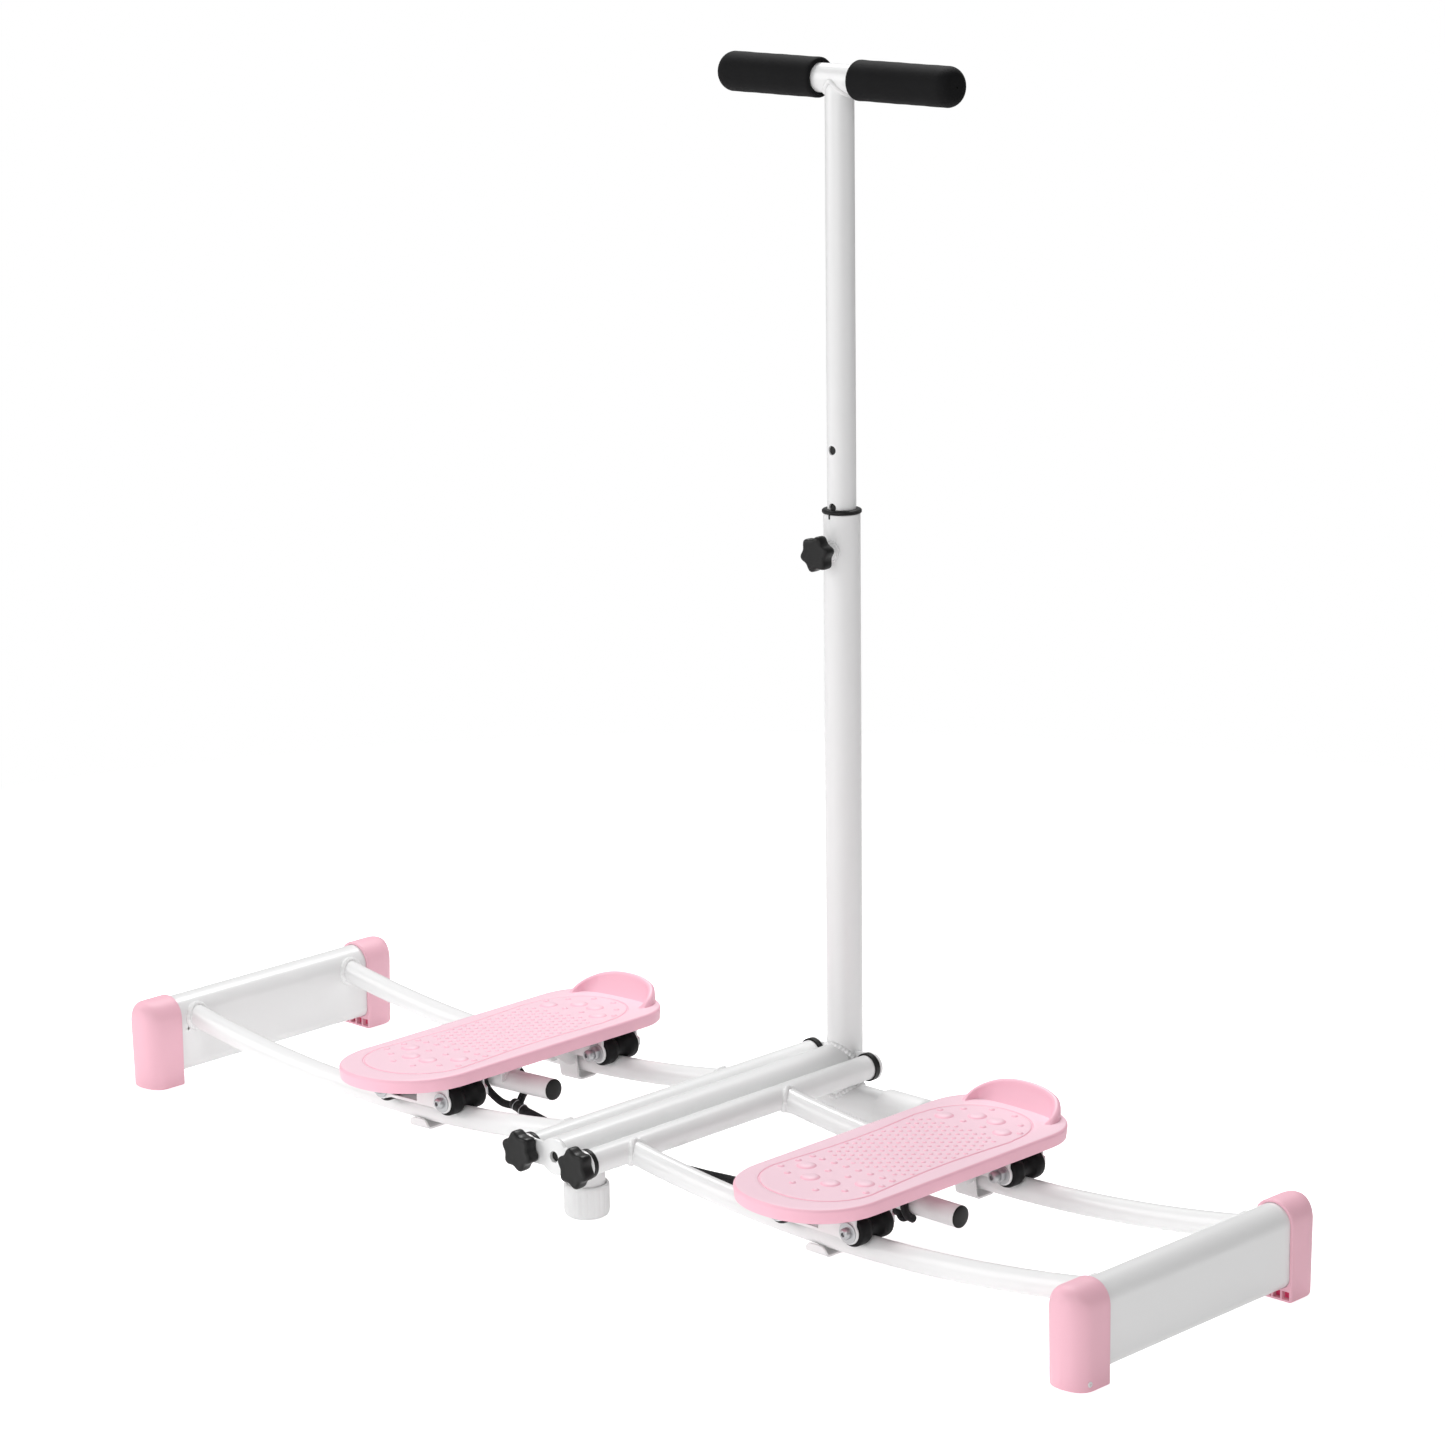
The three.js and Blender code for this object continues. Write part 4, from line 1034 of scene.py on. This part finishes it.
def pedal_outline():
    heel = end_quarter(PEDAL_HALF, PEDAL_HEEL + HEEL_ROUND, -HEEL_ROUND, 60, HEEL_POWER)
    toe = end_quarter(PEDAL_HALF, PEDAL_TOE - TOE_ROUND, TOE_ROUND, 60, TOE_POWER)
    return even_loop(heel + toe[::-1], 2.0)


def groove_line():
    """Line round the tread, drawn in a little at the arch of the foot."""
    heel = end_quarter(52.5, -92, -51, 40, 2.15)
    toe = end_quarter(50.5, 84, 52, 40, 2.1)
    waist = [(52.0 - 4.6 * cos((y + 4) / 88 * pi / 2) ** 1.3, y) for y in np.linspace(-84, 76, 30)]
    return even_loop(heel + waist + toe[::-1], 1.6)


def tread_bumps():
    """(x, y, radius, height) of every raised dot, mirrored about the pedal's middle line."""
    small = ((-117, 12.5), (-103, 31), (-94.5, 46), (-77, 10.7), (-75, 45), (-60, 6.7), (-60, 19.6),
             (-60, 32.6), (-60, 43), (127, 12.5), (112.6, 31), (97, 43.5), (88.6, 10.7))
    big = ((-98, 10.8), (-80, 31.5), (106, 10.3), (88.5, 31.5))
    bumps = []
    for dots, radius, height in ((small, 3.0, 1.3), (big, 8.2, 1.8)):
        for y, x in dots:
            bumps += [(x, y, radius, height), (-x, y, radius, height)]
    for row in range(-12, 13):
        for column in range(-12, 13):
            x, y = row * np.array(FIELD_STEPS[0]) + column * np.array(FIELD_STEPS[1]) + (0.0, FIELD_MIDDLE)
            if abs(x) < FIELD_HALF and abs(y - FIELD_MIDDLE) < FIELD_LENGTH / 2:
                bumps.append((x, y, 2.1, 1.0))
    return bumps


def lip_height(x, y):
    """Arch of the toe lip: tallest at the tip, running out at both corners."""
    if y <= LIP_START or abs(x) >= LIP_SPAN:
        return 0.0
    return LIP_HEIGHT * (1 - (abs(x) / LIP_SPAN) ** 2.2) ** 0.8


def pedal_rings(outline):
    """Rings of the pedal's outside, from the ceiling of its underside, round the rim and over the lip."""
    profiles = []
    bottom = PEDAL_BOTTOM - PEDAL_TOP
    crest = 3.4
    side_room = 8.0
    hidden = 3.0
    crown = [radians(180 - 20 * k) for k in range(9)]
    for x, y in outline:
        height = lip_height(x, y)
        share = min(1.0, height / 15.0)
        fillet = 2.6 * (1 - share) + 0.02
        crest_rise = min(crest, height)
        ledge = 11.0 * (1 - share) ** 1.2
        base = 10.0 + 7.0 * min(1.0, height / LIP_HEIGHT) ** 1.5
        near = min(1.0, max(0.0, (y - LIP_START + 22.0) / 20.0))
        room = side_room + (LIP_ROOM - side_room) * near * near * (3 - 2 * near)
        profile = [(4.2, -3.2), (3.4, -4.0), (3.0, bottom + 0.4), (2.6, bottom), (1.4, bottom),
                   (0.95, bottom + 0.4), (0.55, bottom + 4.0), (0.0, -fillet - 0.2)]
        profile += [(fillet * (1 - cos(a)), -fillet * (1 - sin(a))) for a in np.arange(1, 7) * pi / 12]
        foot = fillet + 0.3 + ledge
        profile.append((foot, 0.0))
        centre = foot + 0.15 + crest
        profile += [(centre + crest * cos(a), height - crest_rise + crest_rise * sin(a)) for a in crown]
        inner, top = profile[-1]
        span = max(base, inner + 1.5) - inner
        profile += [(inner + span * t ** 1.5, top * (1 - t) ** 1.12) for t in np.arange(1, 10) / 9]
        profile.append((LIP_ROOM, 0.0))
        squeeze = (room - hidden) / (LIP_ROOM - hidden)
        profiles.append([(hidden + (x_in - hidden) * squeeze if x_in > hidden and k > 7 else x_in, z)
                         for k, (x_in, z) in enumerate(profile)])
    profiles = np.array(profiles)
    inward = inward_normals(outline)
    return [np.c_[outline + inward * profiles[:, k, :1], profiles[:, k, 1] + PEDAL_TOP]
            for k in range(profiles.shape[1])]


def tread_surface(boundary):
    """Top skin inside the rim with its groove and raised dots, as (points, faces)."""
    groove = groove_line()
    bumps = np.array(tread_bumps())
    scattered = []
    spacing = 4.0
    for i, y in enumerate(np.arange(PEDAL_HEEL + 8, PEDAL_TOE - 8, spacing * 0.87)):
        xs = np.arange(-60, 60.1, spacing) + (i % 2) * spacing / 2
        scattered.append(np.c_[xs, np.full(len(xs), y)])
    scattered = np.vstack(scattered)

    def distance(points, others):
        return np.sqrt(((points[:, None, :] - others[None, :, :]) ** 2).sum(2))

    keep = (distance(scattered, bumps[:, :2]) - bumps[None, :, 2]).min(1) > 1.4
    keep &= distance(scattered, groove).min(1) > 2.2
    keep &= distance(scattered, boundary).min(1) > 1.6
    keep &= inside(scattered, boundary)
    flat = [scattered[keep]]
    heights = [np.zeros(int(keep.sum()))]

    ahead = unit_rows(np.roll(groove, -1, 0) - np.roll(groove, 1, 0))
    normal = np.c_[-ahead[:, 1], ahead[:, 0]]
    groove_section = ((-1.25, 0.0), (-0.85, -0.15), (-0.35, -0.75), (0.35, -0.75), (0.85, -0.05),
                      (1.25, 0.12))
    for offset, depth in groove_section:
        flat.append(groove + normal * offset)
        heights.append(np.full(len(groove), depth))
    large_dot = (28, 4.0, (0.45, 0.7, 0.84, 0.94, 1.0, 1.05))
    small_dot = (12, 2.6, (0.5, 0.8, 1.0, 1.12))
    for x, y, radius, height in bumps:
        count, power, levels = large_dot if radius > 5 else small_dot
        angles = full_turn(count)
        flat.append(np.array([[x, y]]))
        heights.append(np.array([height]))
        for level in levels:
            flat.append(np.c_[x + radius * level * np.cos(angles), y + radius * level * np.sin(angles)])
            heights.append(np.full(count, height * max(0.0, 1 - level ** power)))
    flat = np.vstack([boundary] + flat)
    heights = np.concatenate([np.zeros(len(boundary))] + heights)
    count = len(boundary)
    edges = [(i, (i + 1) % count) for i in range(count)]
    verts, _, faces, origins = delaunay_2d_cdt([Vector(p) for p in flat], edges, [], 1, 1e-4)[:4]
    z = np.array([heights[o[0]] if o else 0.0 for o in origins])
    points = np.c_[np.array([v[:] for v in verts]), z + PEDAL_TOP]
    return points, [tuple(face) for face in faces]


def inside(points, polygon):
    """True for each point inside the closed polygon."""
    hits = np.zeros(len(points), bool)
    following = np.roll(polygon, -1, 0)
    for (x0, y0), (x1, y1) in zip(polygon, following):
        if y0 == y1:
            continue
        crosses = (y0 > points[:, 1]) != (y1 > points[:, 1])
        at = (x1 - x0) * (points[:, 1] - y0) / (y1 - y0) + x0
        hits ^= crosses & (points[:, 0] < at)
    return hits


def pedal():
    """Moulded foot board: shell with a toe lip, tread, and stiffening ribs below."""
    outline = pedal_outline()
    rings = pedal_rings(outline)
    shell = loft(rings, cap_end=False)
    tread = tread_surface(rings[-1][:, :2])
    low = PEDAL_BOTTOM + 0.6
    high = PEDAL_TOP - 3.0
    rib = 1.1
    ribs = [box_shape(-half, half, y - rib, y + rib, low, high, 0.2)
            for y, half in ((-124, 56.0), (-66, 61.5), (0, 61.5), (66, 61.5), (122, 56.0))]
    ribs += [box_shape(x - rib, x + rib, -reach - 2, reach - 3, low, high, 0.2)
             for x, reach in ((-34.0, 150), (0.0, 160), (34.0, 150))]
    return moved(join(shell, tread, *ribs), x=PEDAL_X)


# ------------------------------------------------------------------ elastic cord
def build_cords():
    """Each end of the cord is looped round its crossbar and gathered in a crimped sleeve."""
    left_loop = smooth_path([
        (-196, -4.5, 25.6), (-205, -5, 24.2), (-213, -6, 24.6), (-220, -8, 28.6), (-226, -11.5, 36),
        (-228.5, -13.4, 45), (-226, -9.5, 54), (-219.5, 0, 58.2), (-212, 9.5, 54), (-206, 13.4, 45),
        (-201.5, 11.5, 36.5), (-198.8, 4, 30.6), (-196, -2.5, 25.6),
    ], 120)
    centre_z = rail_z(REST_X["right"] + CORD_X) + CROSSBAR_Z
    wrap = CROSSBAR_R + CORD_R + 0.4
    angles = np.linspace(radians(-62), radians(250), 60)
    right_loop = [(REST_X["right"] + CORD_X - 2.6 + 1.8 * (a - 1.6), wrap * cos(a), centre_z + wrap * sin(a))
                  for a in reversed(angles)]
    tail = [(260, -6.0, 31.2), (253, -5, 34.4), (245, -4.4, 33.0), (236, -4, 29.5)]
    right_loop = list(smooth_path([*right_loop[::6], *tail], 120))
    for word, path, start, heading in (
        ("left", left_loop, (-199.5, -4.0, 25.8), (20.0, 0.0, -6.4)),
        ("right", right_loop, (240.0, -4.1, 29.8), (-12.0, 0.0, -4.6)),
    ):
        body = f"carriage_{word}"
        stand_in(f"cord_loop_{word}", sweep(path, CORD_R + 0.15, 20), CORD, body, angle=70)
        crimp, bands = crimp_parts(np.array(start), np.array(heading))
        piece(f"cord_crimp_{word}", crimp, BLACK, body, angle=50)
        piece(f"cord_crimp_bands_{word}", bands, ZINC, body, angle=50)
    build_cord_run()


def crimp_parts(start, heading):
    """Heat-shrunk sleeve that gathers the strands, with two thin metal bands."""
    heading = heading / np.linalg.norm(heading)
    length = 21.0
    path = [start + heading * (s - 3.0) for s in np.linspace(0, length, 18)]
    sizes = [4.0, 4.8, 5.1, 5.2, 5.1, 5.0, 4.95, 5.0, 5.05, 5.0, 4.95, 4.9, 4.8, 4.7, 4.5, 4.3, 4.0, 3.6]
    sleeve = sweep(path, 0.0, 24, bumps=lambda i: sizes[i])
    bands = []
    for s in (4.6, 12.6):
        band = [start + heading * (s - 3.0 + offset) for offset in (0.0, 0.15, 0.75, 0.9)]
        bands.append(sweep(band, 0.0, 28, bumps=lambda i: (4.9, 5.35, 5.35, 4.9)[i]))
    return sleeve, join(*bands)


def build_cord_run():
    """The cord between the carriages, in pieces split at each glide and each fold; the pieces that span two
    bodies stay where they are drawn.
    """
    line = smooth_path([(-184, -4, 21.6), (-140, -4, 15.4), (-80, -4, 13.6), (-12, -4, 13.6), (30, -4, 14.6),
                        (68, -4, 16.9), (130, -4, 20.6), (190, -4, 23.0), (228, -4, 25.4)], 260)
    marks = (("cord_glide_left", line[0][0], -64, "carriage_left", "side_left"),
             ("cord_fold_left", -64, -9, "side_left", "frame"),
             ("cord_middle", -9, 9, "frame", None),
             ("cord_fold_right", 9, 64, "frame", "side_right"),
             ("cord_glide_right", 64, line[-1][0], "side_right", "carriage_right"))
    for name, x0, x1, first, second in marks:
        i0, i1 = (int(np.argmin(np.abs(line[:, 0] - x))) for x in (x0, x1))
        shape = sweep(line[i0:i1 + 1], CORD_R + 0.75, 20)
        if second:
            made = piece(name, shape, CORD, None, angle=70)
            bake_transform(made)
        else:
            piece(name, shape, CORD, first, ["cord_run"], angle=70)


def build_carriages():
    frame_shape = chassis()
    pedal_shape = pedal()
    plug = crossbar_plug()
    roller_shape = roller()
    short_bolt = axle_bolt(0.0)
    long_bolt = axle_bolt(7.0)
    for word, side in SIDES:
        rest_x = REST_X[word]
        body = f"carriage_{word}"
        stand_in(f"chassis_{word}", on_rail(frame_shape, rest_x), WHITE, body)
        stand_in(f"pedal_{word}", on_rail(pedal_shape, rest_x), PINK, body, angle=38, weld=True)
        for where, hand in (("outer", side), ("inner", -side)):
            shape = moved(handed(plug, hand), x=CROSSBAR_X[(1 + hand) // 2], z=CROSSBAR_Z)
            stand_in(f"plug_{where}_{word}", on_rail(shape, rest_x), BLACK, body)
        for where, y, bolt in (("front", -RAIL_Y, short_bolt), ("rear", RAIL_Y, long_bolt)):
            for letter, x in (("a", -AXLE_X), ("b", AXLE_X)):
                corner = f"{where}_{letter}_{word}"
                turning = on_rail(moved(roller_shape, x, y, AXLE_Z), rest_x)
                stand_in(f"roller_{corner}", turning, ROLLER, f"roller_{corner}", angle=50)
                fixed = on_rail(moved(bolt, x, y, AXLE_Z), rest_x)
                stand_in(f"axle_{corner}", fixed, ZINC, body, angle=35)


# ------------------------------------------------------------------ studio
def build_floor():
    """White sweep: shaded near the machine, pure white further out and for the lens."""
    floor, shader = blank_material("studio_floor", {
        "Base Color": grey(0.84), "Roughness": 0.9, "Specular IOR Level": 0.1, "Emission Color": grey(1.0),
    })
    path = add_node(floor, "LightPath")
    glow = add_node(floor, "Emission")
    place = add_node(floor, "TexCoord")
    length = add_node(floor, "VectorMath", operation="LENGTH")
    near_and_far = {"From Min": 0.5, "From Max": 1.1, "To Min": FLOOR_BOUNCE, "To Max": 0.0}
    bounce = add_node(floor, "MapRange", near_and_far)
    lift = add_node(floor, "MapRange", {"To Max": FLOOR_LIFT})
    fade = add_node(floor, "MapRange", {"From Min": 0.9, "From Max": 1.6})
    seen = add_node(floor, "Math", operation="MULTIPLY")
    mix = add_node(floor, "MixShader")
    wire(floor, place, "Object", length, 0, length, "Value", bounce, "Value", length, "Value", fade, "Value",
         bounce, "Result", lift, "To Min", path, "Is Camera Ray", lift, "Value",
         lift, "Result", shader, "Emission Strength",
         fade, "Result", seen, 0, path, "Is Camera Ray", seen, 1,
         seen, 0, mix, "Fac", shader, "BSDF", mix, 1, glow, "Emission", mix, 2,
         mix, "Shader", floor.node_tree.nodes["Material Output"], "Surface")
    half = 60.0
    corners = [(-half, -half, 0), (half, -half, 0), (half, half, 0), (-half, half, 0)]
    mesh = bpy.data.meshes.new("floor")
    mesh.from_pydata(corners, [], [(0, 1, 2, 3)])
    mesh.materials.append(floor)
    linked("floor", mesh)


def build_camera():
    """Camera that looks from the front right, slightly down, with a small roll."""
    distance = 3.707744
    azimuth = radians(43.888)
    elevation = radians(13.480)
    roll = radians(-0.696)
    target = Vector((0.032233, -0.006892, 0.406079))
    back = Vector((sin(azimuth) * cos(elevation), -cos(azimuth) * cos(elevation),
                   sin(elevation)))
    right = (-back).cross(Vector((0, 0, 1))).normalized()
    up = right.cross(-back)
    right, up = right * cos(roll) + up * sin(roll), up * cos(roll) - right * sin(roll)
    data = bpy.data.cameras.new("camera")
    data.lens = 111.04
    data.sensor_width = 36.0
    data.shift_y = -0.00234
    camera = linked("camera", data)
    camera.location = target + back * distance
    camera.rotation_mode = "QUATERNION"
    turn = Matrix((right, up, back)).transposed()
    camera.rotation_quaternion = turn.to_quaternion()
    bpy.context.scene.camera = camera


def area_light(name, place, aim, size, power):
    data = bpy.data.lights.new(name, "AREA")
    data.shape = "RECTANGLE"
    data.size, data.size_y = size
    data.energy = power
    light = linked(name, data)
    light.location = place
    light.rotation_mode = "QUATERNION"
    light.rotation_quaternion = (Vector(aim) - Vector(place)).to_track_quat("-Z", "Y")


def build_lights():
    world = bpy.data.worlds.new("studio")
    world.use_nodes = True
    path = add_node(world, "LightPath")
    level = add_node(world, "MapRange", {"To Min": WORLD_LIGHT, "To Max": 1.0})
    sky = world.node_tree.nodes["Background"]
    sky.inputs["Color"].default_value = grey(1.0)
    wire(world, path, "Is Camera Ray", level, "Value", level, "Result", sky, "Strength")
    bpy.context.scene.world = world
    area_light("top", (-0.9, 1.3, 2.8), (0.0, 0.0, 0.2), (1.5, 1.2), 68)
    area_light("right", (2.0, -1.3, 2.3), (0.3, 0.0, 0.1), (1.2, 1.2), 15)
    area_light("key", (-2.6, -2.6, 1.7), (0.0, 0.0, 0.35), (2.6, 2.6), 66)
    area_light("fill", (1.2, -3.2, 1.2), (0.1, 0.0, 0.1), (2.6, 2.0), 26)
    bpy.context.scene.view_settings.view_transform = "Standard"


build_fixed_frame()
build_handle()
build_height_knob()
build_side_frames()
build_carriages()
build_cords()
build_floor()
build_camera()
build_lights()
